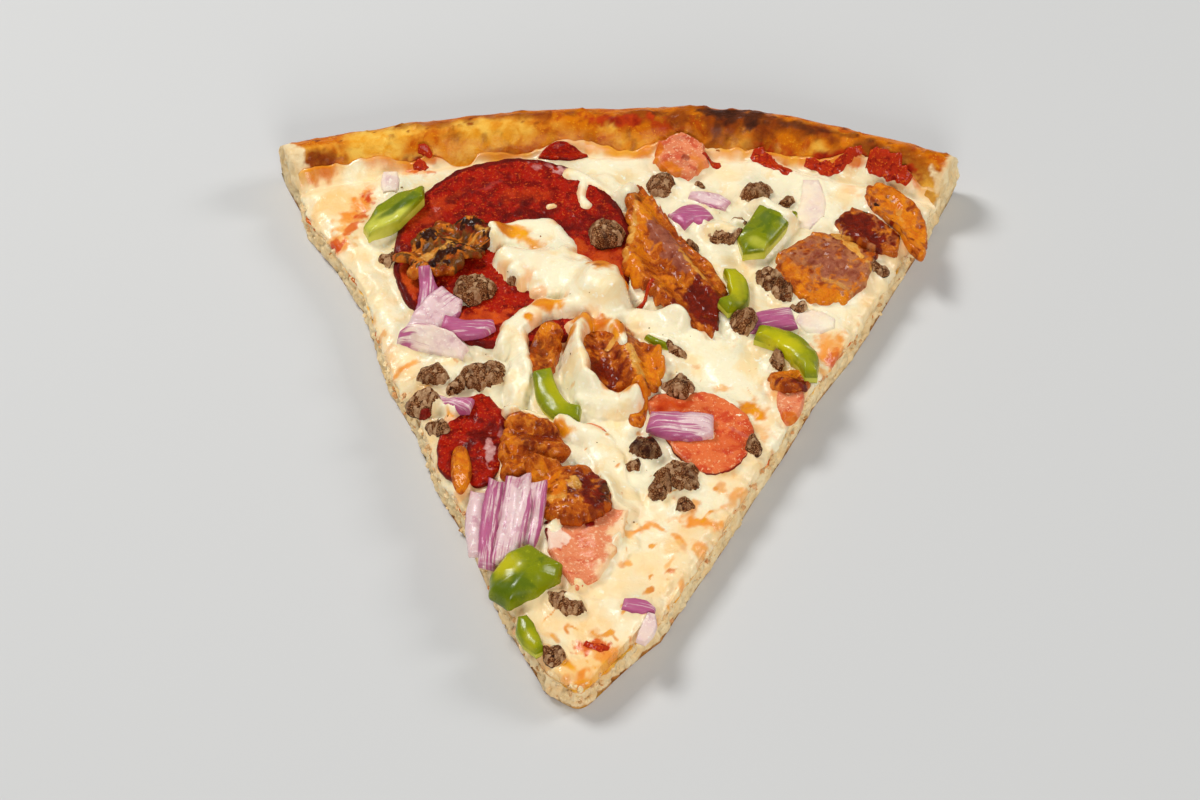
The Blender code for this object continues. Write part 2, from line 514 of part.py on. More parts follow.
def crumb(name, at, width, length, height, seed):
    """A small bit of topping that is sunk into the cheese and is one body with it."""
    xy, triangles, border, depth = disc_plan(lumpy_outline(width, length, 0, seed), 8, 1)
    xy = (xy + at) * MM
    under = sunken(xy, triangles, CRUMB_SINK)
    full = height * MM * (0.6 + 0.4 * depth)
    solid(name, MELTED_CHEESE, xy, triangles, border, under, under + full, home=melted_strings)


def strings():
    """Strings, pools and crumbs, all joined to the cheese by one union."""
    string("pool_far", [(-24, 28), (-14, 25), (-6, 24), (1, 16)], [5, 14, 16, 8], 2.4, 9)
    string("string_far", [(-4.5, 63), (-6, 56), (-1, 50), (4, 48)], [4, 6, 5, 4], 1.8, 9)
    string("string_across", [(-22, 6), (-17, 15), (-8, 18), (2, 17), (12, 14)], [4, 6, 6, 6, 5], 2.2, 13)
    string("string_down", [(-20, 11), (-18, 0), (-19, -12)], [5, 5.5, 4], 2.2, 9)
    string("string_middle", [(-5, 14), (-6, 2), (-3, -6), (5, -9)], [4, 5, 5.5, 4], 2.2, 11)
    string("string_near", [(-8, -16), (2, -20), (8, -30)], [4, 7, 7], 2.2, 9)
    crumb("crumb_rim", (-49.0, 31.5), 4.2, 3.6, 3.0, 1)
    crumb("crumb_far", (37.5, 52.0), 4.2, 3.2, 3.0, 2)
    crumb("crumb_low_left", (-34.0, -17.5), 3.6, 6.6, 3.0, 3)
    crumb("crumb_tip", (-7.0, -75.0), 4.6, 4.6, 3.2, 4)
    crumb("crumb_near_right", (17.5, -35.5), 3.8, 4.2, 2.8, 5)
    crumb("onion_bit_tip", (9.0, -62.5), 6.5, 3.2, 2.2, 7)
    crumb("onion_bit_far_left", (-50.0, 55.5), 4.2, 6.6, 2.2, 8)
    crumb("ham_bit_middle", (-3.0, -16.4), 7.2, 4.0, 3.0, 9)
    for helper in melted_strings.objects:
        helper.hide_render = True
        helper.display_type = "WIRE"
    join = bpy.data.objects["cheese"].modifiers.new("strings", "BOOLEAN")
    join.operation = "UNION"
    join.operand_type = "COLLECTION"
    join.collection = melted_strings


dough()
sauce()
under_cheese = solid_top.copy()
cheese()
bare_cheese = solid_top.copy()
salami()
ham()
bacon()
red_onion()
green_pepper()
minced_beef()
strings()
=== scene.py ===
"""The looks of one slice of a thin-crust pizza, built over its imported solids.

It is made in the order a cook makes it: dough, sauce, a bed of cheese, the toppings, the cheese that melts
over them, and last the smears and crumbs. Lengths are in millimetres where a name or comment says so.
"""

from collections import namedtuple

import bmesh
import bpy
import numpy as np
from mathutils import Matrix, Vector


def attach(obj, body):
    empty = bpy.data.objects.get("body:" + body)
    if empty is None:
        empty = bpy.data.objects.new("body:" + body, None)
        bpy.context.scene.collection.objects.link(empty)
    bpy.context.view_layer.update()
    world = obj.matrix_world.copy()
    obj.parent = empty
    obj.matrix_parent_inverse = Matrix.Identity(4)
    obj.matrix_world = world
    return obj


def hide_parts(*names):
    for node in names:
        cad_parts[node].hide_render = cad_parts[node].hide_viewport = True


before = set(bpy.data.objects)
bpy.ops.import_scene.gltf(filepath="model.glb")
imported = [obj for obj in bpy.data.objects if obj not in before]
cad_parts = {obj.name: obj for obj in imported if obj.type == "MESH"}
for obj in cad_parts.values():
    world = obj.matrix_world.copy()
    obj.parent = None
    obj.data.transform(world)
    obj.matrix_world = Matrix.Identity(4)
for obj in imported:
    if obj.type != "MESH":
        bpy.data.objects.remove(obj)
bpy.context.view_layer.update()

# Dough: a round of proved bread dough, rolled thin and baked on a hot deck, then cut. Its rim swells,
# blisters and browns, and the cuts show a torn, pale crumb. It replaces the dough's solid.

MM = 0.001
PIE_CENTRE = np.array([0.0, -95.4]) * MM
HALF_ANGLE = np.radians(25.0)
TIP_RADIUS = 14.8 * MM
TIP_WIDENING = 0.06
TIP_HEADING = np.radians(-8.0)
CUT_RADII = np.array([20, 41, 63, 77, 92, 106, 122, 131, 146, 157, 166, 180]) * MM
LEFT_STRAY = np.array([0.2, 1.6, 0.5, 1.5, 0.0, 0.7, -1.2, -2.1, -0.8, 1.3, 0.2, 0.6]) * MM
RIGHT_STRAY = np.array([-1.2, -1.3, -0.6, -0.8, -0.4, -0.8, 0.7, 0.7, 0.5, 0.5, 0.2, -0.3]) * MM
RIM_HEADINGS = np.radians([-25, -18, -9, 0, 10, 18, 25])
RIM_RADII = np.array([178.4, 177.0, 176.6, 177.0, 179.4, 179.2, 180.2]) * MM
RIM_CRESTS = np.array([13.8, 13.0, 12.8, 13.2, 14.6, 14.2, 14.0]) * MM
DOUGH_THICKNESS = 5.6 * MM
RIM_WIDTH = 15.0 * MM
RIM_UNDERCUT = 5.0 * MM
RIM_EDGE_LOW = 3.6 * MM
RIM_EDGE_HIGH = 6.6 * MM
CREST_SHARE = 0.55
RIM_REACH = 0.95 * RIM_WIDTH
BLISTER = 2.6 * MM
CRUMB_PIT = 1.3 * MM
CRUMB_LUMP = 4.5 * MM
BACK_CRUST = 4.0 * MM
CRUST_EDGE = 2.2

PRIMES = np.array([73856093, 19349663, 83492791])
TURN = np.array([[0.80, 0.60, 0.0], [-0.48, 0.64, 0.60], [0.36, -0.48, 0.80]])


def grain(places, size, seed):
    """Smooth noise from -1 to 1: a random value at each corner of cubes of one size, eased between them."""
    spot = places / size + 31.7 * seed
    cell = np.floor(spot).astype(np.int64)
    ease = spot - cell
    ease = ease * ease * (3 - 2 * ease)
    total = np.zeros(len(places))
    for corner in np.ndindex(2, 2, 2):
        key = (cell + corner) @ PRIMES
        key = (key ^ (key >> 13)) * 1274126177
        key = (key ^ (key >> 16)) & 0xFFFF
        weight = np.prod(np.where(corner, ease, 1 - ease), axis=1)
        total += weight * (key / 32767.5 - 1)
    return total


def rough(places, size, seed, octaves=3):
    """Noise on several scales: each octave is half the size and half the height, and turned."""
    if places.shape[1] == 2:
        places = np.column_stack([places, np.zeros(len(places))])
    total = np.zeros(len(places))
    for octave in range(octaves):
        places = places @ TURN
        total += grain(places, size * 0.5**octave, seed + octave) * 0.5**octave
    return total


def eased(value, low, high):
    """0 below low, 1 above high, and a smooth rise between them."""
    share = np.clip((value - low) / (high - low), 0, 1)
    return share * share * (3 - 2 * share)


def wedge(radius_share, across, outer_radius, inset):
    """Plan of the slice: share 0 at the tip and 1 at the outer radius, across -1 at left and 1 at right."""
    heading = across * HALF_ANGLE
    tip = TIP_RADIUS + TIP_WIDENING * (heading - TIP_HEADING) ** 2
    radius = tip + inset + radius_share * (outer_radius - tip - inset)
    left = np.interp(radius, CUT_RADII, LEFT_STRAY)
    right = np.interp(radius, CUT_RADII, RIGHT_STRAY)
    stray = np.where(across < 0, -left, right) * np.abs(across) ** 3
    heading = heading + (stray - inset * across) / radius
    return PIE_CENTRE + radius[..., None] * np.stack([np.sin(heading), np.cos(heading)], axis=-1)


def rim_radius(heading):
    """The pie's uneven outer radius, straight between its measured headings."""
    return np.interp(heading, RIM_HEADINGS, RIM_RADII)


def from_rim_foot(xy):
    """Distance out from the foot of the rim, and the rim's crest there: both from the heading alone."""
    away = xy - PIE_CENTRE
    heading = np.arctan2(away[:, 0], away[:, 1])
    foot = rim_radius(heading) - RIM_WIDTH
    return np.linalg.norm(away, axis=1) - foot, np.interp(heading, RIM_HEADINGS, RIM_CRESTS)


def dough_top(xy):
    """A flat bed, a rim that rises as half a cosine wave to its crest and falls as a quarter ellipse."""
    out, crest = from_rim_foot(xy)
    share = np.clip(out / RIM_WIDTH, 0, 1)
    inner = 0.5 - 0.5 * np.cos(np.pi * np.minimum(share / CREST_SHARE, 1))
    outer = np.sqrt(np.clip(1 - ((share - CREST_SHARE) / (1 - CREST_SHARE)) ** 2, 0, 1))
    low, edge = DOUGH_THICKNESS, RIM_EDGE_HIGH
    return np.where(share < CREST_SHARE, low + (crest - low) * inner, edge + (crest - edge) * outer)


# A plan's points, the faces of its top (quads and middle) and of its underside (base and ends), the points
# round its border in turn, and how deep inside the border each point is.
Plan = namedtuple("Plan", "xy quads middle base ends border depth")


def grid_plan(xy, long_rows=None):
    """Plan of a grid of points, row by row. Its base has one long face for each row, or for the first few."""
    rows, columns = xy.shape[:2]
    index = np.arange(rows * columns).reshape(rows, columns)
    quads = np.stack([index[:-1, :-1], index[:-1, 1:], index[1:, 1:], index[1:, :-1]], -1).reshape(-1, 4)
    last = rows - 1 if long_rows is None else long_rows
    left, right = index[:last + 1, 0], index[:last + 1, -1]
    base = np.column_stack([left[:-1], left[1:], right[1:], right[:-1]])
    base = np.vstack([base, quads[last * (columns - 1):, ::-1]])
    border = np.concatenate([index[0], index[1:, -1], index[-1, -2::-1], index[-2:0:-1, 0]])
    return Plan(xy.reshape(-1, 2), quads, [], base, [index[0, ::-1], index[last]], border, None)


def placed(name, data):
    """An object of a mesh, lamp or camera, in the scene."""
    made = bpy.data.objects.new(name, data)
    bpy.context.scene.collection.objects.link(made)
    return made


def body(name, plan, under, top, finish, side_rows=3, bulge=0.0):
    """A closed piece: its plan at the height of its top, the same at its underside, and rows of wall.

    The wall's rows stand out by bulge, which is a distance that swells as half a sine wave, or a function
    of their points and of the share of the wall's height. Gives the object, its points, and 0 for each
    point of the top, 1 for the wall and 2 for the underside.
    """
    xy, quads, middle, base, ends, border, _ = plan
    count, edge = len(xy), len(border)
    x, y = xy[border].T
    if np.sum(x * np.roll(y, -1) - y * np.roll(x, -1)) < 0:
        border = border[::-1]
    corners = xy[quads[:, :3]]
    one, two = corners[:, 1] - corners[:, 0], corners[:, 2] - corners[:, 0]
    if np.sum(one[:, 0] * two[:, 1] - one[:, 1] * two[:, 0]) < 0:
        quads, base = quads[:, ::-1], base[:, ::-1]
        middle, ends = [face[::-1] for face in middle], [face[::-1] for face in ends]
    along = np.roll(xy[border], -1, axis=0) - np.roll(xy[border], 1, axis=0)
    outward = np.column_stack([along[:, 1], -along[:, 0]])
    outward /= np.linalg.norm(outward, axis=1)[:, None]
    points = [np.column_stack([xy, top]), np.column_stack([xy, under])]
    rings = [count + border]
    for row in range(1, side_rows):
        share = row / side_rows
        ring = np.column_stack([xy[border], under[border] + share * (top - under)[border]])
        stand = bulge(ring, share) if callable(bulge) else bulge * np.sin(np.pi * share) * np.ones(edge)
        ring[:, :2] += outward * stand[:, None]
        rings.append(2 * count + (row - 1) * edge + np.arange(edge))
        points.append(ring)
    rings.append(border)
    points = np.vstack(points)
    where = np.repeat([0, 2, 1], [count, count, len(points) - 2 * count])
    walls = [np.column_stack([low, np.roll(low, -1), np.roll(high, -1), high])
             for low, high in zip(rings, rings[1:])]
    quads = np.vstack([quads, count + base, *walls])
    used = np.zeros(len(points), bool)
    used[quads.ravel()] = True
    fresh = np.cumsum(used) - 1
    caps = [*middle, *(count + face for face in ends)]
    mesh = bpy.data.meshes.new(name)
    mesh.from_pydata(points[used].tolist(), [], fresh[quads].tolist() + [fresh[cap].tolist() for cap in caps])
    mesh.update()
    mesh.shade_smooth()
    mesh.materials.append(finish)
    piece = placed(name, mesh)
    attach(piece, "root")
    return piece, points[used], where[used]


def paint(piece, area, values):
    """Keeps one value for each point of a piece, which its finish reads by the area's name."""
    piece.data.attributes.new(area, "FLOAT", "POINT").data.foreach_set("value", values.astype(np.float32))


def marks(places, spots, seed=0, jag=0.35, size=1.6, soft=0.28):
    """Soft ovals with ragged edges: middle x and y, half length and half width in mm, turn and strength."""
    value = np.zeros(len(places))
    wobble = jag * rough(places, size * MM, seed)
    for x, y, length, width, turn, strength in spots:
        c, s = np.cos(np.radians(turn)), np.sin(np.radians(turn))
        dx, dy = places[:, 0] / MM - x, places[:, 1] / MM - y
        far = np.hypot((dx * c + dy * s) / length, (dy * c - dx * s) / width) + wobble
        value = np.maximum(value, strength * eased(-far, -1 - soft, -1 + soft))
    return value


def shade(red, green, blue):
    """A colour as it shows on a screen, each part from 0 to 255, in linear light."""
    parts = np.array([red, green, blue]) / 255
    return (*np.where(parts <= 0.04045, parts / 12.92, ((parts + 0.055) / 1.055) ** 2.4).tolist(), 1.0)


def wire(tree, kind, sockets, **settings):
    """A new node: each setting is made, and each socket gets a value or is joined to an output."""
    made = tree.nodes.new("ShaderNode" + kind)
    for name, value in settings.items():
        setattr(made, name, value)
    for name, value in sockets.items():
        if isinstance(value, bpy.types.NodeSocket):
            tree.links.new(value, made.inputs[name])
        else:
            made.inputs[name].default_value = value
    return made


def blended(tree, share, first, second):
    """Mix of two colours."""
    mix = wire(tree, "Mix", {0: share}, data_type="RGBA")
    for socket, colour in ((mix.inputs[6], first), (mix.inputs[7], second)):
        if isinstance(colour, bpy.types.NodeSocket):
            tree.links.new(colour, socket)
        else:
            socket.default_value = colour
    return mix.outputs[2]


def between(tree, value, low, high, start=0.0, end=1.0):
    """A value's place between low and high, as a number from start to end."""
    sockets = {0: value, 1: low, 2: high, 3: start, 4: end}
    return wire(tree, "MapRange", sockets, interpolation_type="SMOOTHSTEP").outputs[0]


def mottle_group():
    """Node group: a colour broken by soft patches of a darker one and by fine specks of a paler one."""
    tree = bpy.data.node_groups.new("mottle", "ShaderNodeTree")
    for name, kind in (("Colour", "Color"), ("Dark", "Color"), ("Pale", "Color"), ("Patches", "Float"),
                       ("Specks", "Float"), ("Dark From", "Float"), ("Pale From", "Float")):
        tree.interface.new_socket(name, in_out="INPUT", socket_type="NodeSocket" + kind)
    for name, kind in (("Colour", "Color"), ("Patch", "Float"), ("Height", "Float")):
        tree.interface.new_socket(name, in_out="OUTPUT", socket_type="NodeSocket" + kind)
    given = tree.nodes.new("NodeGroupInput").outputs
    result = tree.nodes.new("NodeGroupOutput").inputs
    place = wire(tree, "TexCoord", {}).outputs["Object"]
    patch = wire(tree, "TexNoise", {"Vector": place, "Scale": given["Patches"], "Detail": 5.0,
                                    "Roughness": 0.6, "Distortion": 0.5}).outputs[0]
    speck = wire(tree, "TexNoise", {"Vector": place, "Scale": given["Specks"], "Detail": 3.0,
                                    "Roughness": 0.65}).outputs[0]
    dark_to = wire(tree, "Math", {0: given["Dark From"], 1: 0.16}).outputs[0]
    pale_to = wire(tree, "Math", {0: given["Pale From"], 1: 0.12}).outputs[0]
    dark = between(tree, patch, given["Dark From"], dark_to)
    pale = between(tree, speck, given["Pale From"], pale_to)
    colour = blended(tree, dark, given["Colour"], given["Dark"])
    tree.links.new(blended(tree, pale, colour, given["Pale"]), result["Colour"])
    tree.links.new(between(tree, patch, 0.3, 0.7), result["Patch"])
    height = wire(tree, "Math", {0: patch, 1: speck}, operation="ADD").outputs[0]
    tree.links.new(height, result["Height"])
    return tree


MOTTLE = mottle_group()
OIL_ROUGHNESS = 0.12
LIGHT_REACH = 1.2 * MM


def food(name, colours, patches, specks, dark_from, pale_from, gloss, bump, areas=(), coat=0, soft=0,
         shine=0.06):
    """A food's finish: three mottled colours, with the areas painted on the piece laid over them in turn.

    Colours have parts from 0 to 255. Patches and specks are their sizes in mm, gloss is the lowest and
    highest roughness, bump is in mm, and each area has a name, its two colours, and the values it starts
    and is full at.
    """
    made = bpy.data.materials.new(name)
    made.use_nodes = True
    tree = made.node_tree
    shader = tree.nodes["Principled BSDF"]
    group = tree.nodes.new("ShaderNodeGroup")
    group.node_tree = MOTTLE
    sockets = {"Patches": 1 / (patches * MM), "Specks": 1 / (specks * MM), "Dark From": dark_from,
               "Pale From": pale_from}
    sockets.update(zip(("Colour", "Dark", "Pale"), (shade(*colour) for colour in colours)))
    for socket, value in sockets.items():
        group.inputs[socket].default_value = value
    colour = group.outputs["Colour"]
    for area, first, second, low, high in areas:
        painted = wire(tree, "Attribute", {}, attribute_name=area).outputs["Fac"]
        inside = between(tree, painted, low, high)
        painted = blended(tree, group.outputs["Patch"], shade(*first), shade(*second))
        colour = blended(tree, inside, colour, painted)
    tree.links.new(colour, shader.inputs["Base Color"])
    tree.links.new(between(tree, group.outputs["Patch"], 0.0, 1.0, *gloss), shader.inputs["Roughness"])
    sockets = {"Height": group.outputs["Height"], "Strength": 1.0, "Distance": bump * MM}
    tree.links.new(wire(tree, "Bump", sockets).outputs[0], shader.inputs["Normal"])
    shader.inputs["Specular IOR Level"].default_value = shine
    shader.inputs["Coat Weight"].default_value = coat
    shader.inputs["Coat Roughness"].default_value = OIL_ROUGHNESS
    shader.inputs["Subsurface Weight"].default_value = soft
    shader.inputs["Subsurface Radius"].default_value = (1.0, 0.6, 0.35)
    shader.inputs["Subsurface Scale"].default_value = LIGHT_REACH
    return made


BAKED_DOUGH = food(
    "baked_dough", ((214, 116, 2), (190, 80, 2), (234, 156, 28)), 3.2, 0.7, 0.48, 0.58,
    (0.32, 0.6), 0.25, coat=0.05, soft=0.04, areas=(
        ("golden", (246, 196, 84), (234, 156, 30), 0, 1),
        ("browned", (156, 70, 6), (114, 42, 6), 0, 1),
        ("scorched", (96, 44, 18), (54, 26, 14), 0.1, 1),
        ("oil_red", (140, 22, 6), (190, 60, 10), 0.1, 0.9),
        ("crumb", (246, 224, 178), (232, 196, 138), 0.2, 0.8),
        ("toast", (206, 138, 62), (150, 88, 34), 0.3, 1)))
BROWNED_RIM = [
    (-40, 72, 9, 1.6, 10, 0.6), (-20, 75, 12, 1.5, 4, 0.7), (12, 75, 10, 2.2, -2, 0.8),
    (27, 74.5, 8, 3, -8, 1), (42, 72, 10, 2, -14, 0.9), (58, 66.5, 8, 2, -20, 0.7),
    (-67.5, 58, 4.2, 2.4, 22, 1), (31, 70, 4, 1, -10, 0.6), (-6, 70, 6, 1.5, 0, 0.5),
    (66, 62.5, 5, 2.5, -40, 0.6)]
SCORCHED_RIM = [
    (27, 75.5, 8, 2.6, -6, 1), (36, 73, 6, 1.4, -12, 0.8), (22, 71, 3, 1.2, 20, 0.6),
    (50, 70.5, 8, 1, -16, 0.6), (8, 76.5, 5, 0.8, 0, 0.5)]
OILED_RIM = [(0, 74.2, 8, 1.2, 2, 1), (9, 73.5, 4, 0.8, -8, 0.7), (-46, 60.5, 3, 2.4, 0, 0.8)]
SEEPS = [
    (34, 66, 6, 4, -30, 1), (48, 65, 8, 3, 0, 1), (61, 62, 6, 4, -30, 1), (20, 66, 5, 3, 0, 0.6),
    (-43, 63, 4, 3, 0, 0.8), (-22, 68, 8, 2, 0, 0.5)]
GOLDEN_RIM = [
    (-52, 66, 8, 4, 12, 1), (-31, 71, 8, 3, 6, 0.8), (-8, 68, 9, 3, 0, 0.8), (10, 70, 6, 3, 0, 0.6),
    (38, 66, 10, 2.6, -14, 1), (60, 61, 6, 3, -20, 0.8), (-66, 62, 5, 2, 20, 0.6)]


# Where the cheese ends on the rim: the mean distance out, and spills by place across, spread and distance.
CHEESE_END = 3.3 * MM
SPILLS = ((-0.79, 0.2, 1.2), (-0.49, 0.05, -4), (0.76, 0.13, 2))


def past_cheese(xy):
    """Distance out in mm from where the cheese ends: a ragged line that strays where it spilled."""
    out, _ = from_rim_foot(xy)
    across = np.arctan2(*(xy - PIE_CENTRE).T) / HALF_ANGLE
    ragged = 1.3 * rough(np.column_stack([10 * across, 0 * across]), 1.4, 41, 5)
    strays = sum(far * np.exp(-((across - middle) / wide) ** 2) for middle, wide, far in SPILLS)
    return (out - CHEESE_END) / MM - ragged - strays


def from_cuts(xy):
    """Distance in mm from the nearer of the two straight lines that the cuts follow."""
    away = xy - PIE_CENTRE
    return np.linalg.norm(away, axis=1) * (HALF_ANGLE - np.abs(np.arctan2(*away.T))) / MM


def crumb_relief(ring, share):
    """A torn wall: noise on three scales, less at the top and the underside, and least behind the rim."""
    out, _ = from_rim_foot(ring[:, :2])
    behind = eased(out / MM, 10, 12) * eased(from_cuts(ring[:, :2]), 0.5, 3)
    fade = np.sin(np.pi * share) ** 0.5 * (1 - 0.85 * behind)
    pits = np.minimum(rough(ring, CRUMB_PIT, 5), 0.15)
    relief = 0.6 * rough(ring, CRUMB_LUMP, 6) + 1.3 * pits + 0.3 * rough(ring, 0.8 * MM, 14, 1) + 0.15
    return MM * relief * fade


def dough():
    """The loaf, and on it how crumbed, toasted, browned, golden, scorched and oiled each point is."""
    flat_rows, rim_rows, columns = 230, 46, 210
    across = np.linspace(-1, 1, columns)
    inner = rim_radius(across * HALF_ANGLE) - RIM_WIDTH
    flat = wedge(np.linspace(0, 1, flat_rows)[:, None], across, inner, 0.0)
    outward = 0.5 * (1 - np.cos(np.linspace(0, np.pi, rim_rows)[1:]))
    rim = wedge(1.0, across, inner + outward[:, None] * RIM_REACH, 0.0)
    plan = grid_plan(np.concatenate([flat, rim]), flat_rows - 1)
    xy = plan.xy
    out, _ = from_rim_foot(xy)
    share = np.clip(out / RIM_WIDTH, 0, 1)
    on_rim = eased(share, 0.0, 0.2)
    blisters = np.maximum(rough(xy, BLISTER, 7) - 0.3, 0) * (1 - share**6)
    top = dough_top(xy) + MM * on_rim * (0.55 * rough(xy, 7 * MM, 8) + blisters - 0.25)
    top = np.maximum(top, DOUGH_THICKNESS * 0.9)
    beyond = np.clip((out - (RIM_WIDTH - RIM_UNDERCUT)) / RIM_UNDERCUT, 0, 1)
    under = RIM_EDGE_LOW * (1 - np.sqrt(1 - beyond**2))
    piece, points, where = body("dough_loaf", plan, under, top, BAKED_DOUGH, 12, crumb_relief)
    flat_xy = points[:, :2]
    out, _ = from_rim_foot(flat_xy)
    from_cut = from_cuts(flat_xy)
    cut = (where == 1) & ((out < RIM_WIDTH - BACK_CRUST) | (from_cut < CRUST_EDGE))
    torn = ~cut * eased(2.6 * rough(points, 2.4 * MM, 56) - from_cut, -3.2, -0.6)
    near_tip = eased(-flat_xy[:, 1] / MM, 50, 78)
    skin = eased(out, RIM_WIDTH - 3 * MM, RIM_WIDTH) * eased(from_cut, 0.0, 2.0)
    paint(piece, "crumb", np.where(cut, (1.0 - 0.9 * skin) * (1 - 0.3 * near_tip), 0.75 * torn))
    below = (where == 2) | (points[:, 2] < 0.6 * MM)
    charred = cut * (rough(points, 1.6 * MM, 10) > 0.55)
    paint(piece, "toast", np.where(below, 0.7 + 0.5 * rough(flat_xy, 8 * MM, 9), 0.45 * charred))
    high = eased(rough(flat_xy, BLISTER, 7, 2), 0.4, 0.8)
    edge = eased(out / RIM_WIDTH, 0.62, 1.0)
    specks = 0.9 * eased(rough(points, 1.4 * MM, 60), 0.45, 0.9) * eased(out / RIM_WIDTH, 0.3, 0.6)
    brown = np.maximum(marks(points, BROWNED_RIM, 1, 0.9, 3.0, 0.8), 0.5 * high + 0.8 * edge**2)
    brown = np.maximum(brown, specks)
    paint(piece, "browned", brown * ~cut)
    foot = eased(-out / MM + 2.5 * rough(points, 5 * MM, 50), -5.5, -1.5)
    gold = np.maximum(marks(points, GOLDEN_RIM, 4, 0.9, 5.0, 0.9), foot)
    paint(piece, "golden", np.maximum(gold, 0.7 * eased(rough(points, 4 * MM, 4, 4), 0.2, 1.3)) * ~cut)
    paint(piece, "scorched", marks(points, SCORCHED_RIM, 2, 1.0, 2.0, 0.7) * ~cut)
    past = past_cheese(flat_xy) + 0.8 * rough(points, 1.6 * MM, 54)
    seeped = eased(-np.abs(past - 0.3), -1.8, -0.4) * marks(points, SEEPS, 55, 0.6, 2.0, 0.6)
    paint(piece, "oil_red", np.maximum(marks(points, OILED_RIM, 3, 0.8, 1.6, 0.7), seeped) * ~cut)
    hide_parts("dough")


dough()

# Sauce: cooked crushed tomato, spread in a film from cut to cut and baked between dough and cheese. It
# shows as a thin red line at the cuts. It replaces the sauce's solid.

SAUCE_SHORT_OF_RIM = 1.5 * MM
SAUCE_THICKNESS = 0.9 * MM
SAUCE_INSET = 0.6 * MM
SAUCE_SINK = 0.2 * MM
TOMATO_SAUCE = food(
    "tomato_sauce", ((212, 100, 30), (176, 48, 12), (240, 168, 92)), 3, 0.8, 0.5, 0.55,
    (0.25, 0.5), 0.15, coat=0.2, soft=0.15)


def sauce_bulge(ring, share):
    """Here and there the sauce oozes out between dough and cheese, and elsewhere it stays behind them."""
    return MM * (1.3 * rough(ring, 5 * MM, 51) - 0.3) * np.sin(np.pi * share)


def sauce():
    """The film: the dough's top, raised by an uneven thickness."""
    rows, columns = 260, 60
    across = np.linspace(-1, 1, columns)
    outer = rim_radius(across * HALF_ANGLE) - RIM_WIDTH - SAUCE_SHORT_OF_RIM
    plan = grid_plan(wedge(np.linspace(0, 1, rows)[:, None], across, outer, SAUCE_INSET))
    xy = plan.xy
    under = dough_top(xy) - SAUCE_SINK
    top = under + SAUCE_THICKNESS * (1 + 0.2 * rough(xy, 3 * MM, 11))
    piece, _, _ = body("sauce_film", plan, under, top, TOMATO_SAUCE, 4, sauce_bulge)
    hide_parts("sauce")


sauce()

# The bed of cheese that the toppings sink into, and a map of the ground as it builds up. The cheese itself
# is made after the toppings, because it melts round and over them.

CHEESE_THICKNESS = 2.9 * MM
CHEESE_THINS_AT = 2.4 * MM
CHEESE_SKIN = 0.35 * MM
CELL = 0.3 * MM
GROUND_CORNER = np.array([-84.0, -90.0]) * MM
GROUND_CELLS = (560, 600)


def cheese_bed(xy):
    """Height of the cheese without toppings: even lumps, thinner in its last millimetres up the rim."""
    out, _ = from_rim_foot(xy)
    thin = 0.12 + 0.88 * eased((CHEESE_THINS_AT - out) / MM, 0.0, 4.2)
    bubbles = np.maximum(rough(xy, 2.4 * MM, 53, 2) - 0.45, 0)
    lumps = 0.45 * rough(xy, 8 * MM, 12, 4) + 0.12 * rough(xy, 1.5 * MM, 13, 2) + 0.5 * bubbles
    return dough_top(xy) + CHEESE_SKIN + (CHEESE_THICKNESS + lumps * MM) * thin


class Ground:
    """Height of the highest surface over each small square, and how greasy what lies there is."""

    def __init__(self):
        x, y = (GROUND_CORNER[k] + CELL * (0.5 + np.arange(GROUND_CELLS[k])) for k in range(2))
        self.xy = np.stack(np.meshgrid(x, y, indexing="ij"), -1).reshape(-1, 2)
        self.bed = cheese_bed(self.xy).reshape(GROUND_CELLS)
        self.height = self.bed.copy()
        self.grease = np.zeros(GROUND_CELLS)

    def add(self, points, quads, grease):
        """Nine even points of each quad raise the squares they fall in."""
        corners = points[quads]
        for u in (0.0, 0.5, 1.0):
            for v in (0.0, 0.5, 1.0):
                weights = np.array([(1 - u) * (1 - v), u * (1 - v), u * v, (1 - u) * v])
                spots = np.einsum("k,mkd->md", weights, corners)
                cell = tuple(((spots[:, :2] - GROUND_CORNER) / CELL).astype(int).T)
                np.maximum.at(self.height, cell, spots[:, 2])
                self.grease[cell] = grease

    def at(self, xy, values=None):
        """Values between the middles of four squares, weighted by nearness."""
        values = self.height if values is None else values
        spot = (xy - GROUND_CORNER) / CELL - 0.5
        low = np.clip(spot.astype(int), 0, np.array(GROUND_CELLS) - 2)
        u, v = np.clip(spot - low, 0, 1).T
        i, j = low.T
        return ((1 - u) * (1 - v) * values[i, j] + u * (1 - v) * values[i + 1, j]
                + (1 - u) * v * values[i, j + 1] + u * v * values[i + 1, j + 1])


def widened(values, steps):
    """Each square takes the highest value of its neighbours, once for each step."""
    for _ in range(steps):
        values = np.maximum.reduce([values, *(np.roll(values, s, a) for s in (-1, 1) for a in (0, 1))])
    return values


def smoothed(values, steps):
    """Each square takes a mean of itself and its neighbours, first one way and then the other."""
    for _ in range(steps):
        for axis in (0, 1):
            values = 0.5 * values + 0.25 * (np.roll(values, 1, axis) + np.roll(values, -1, axis))
    return values


ground = Ground()

# Salami: thin round slices of a cured, fermented sausage, laid on the cheese. The large one has cupped in the
# oven. Each replaces its own solid, as every topping below does.


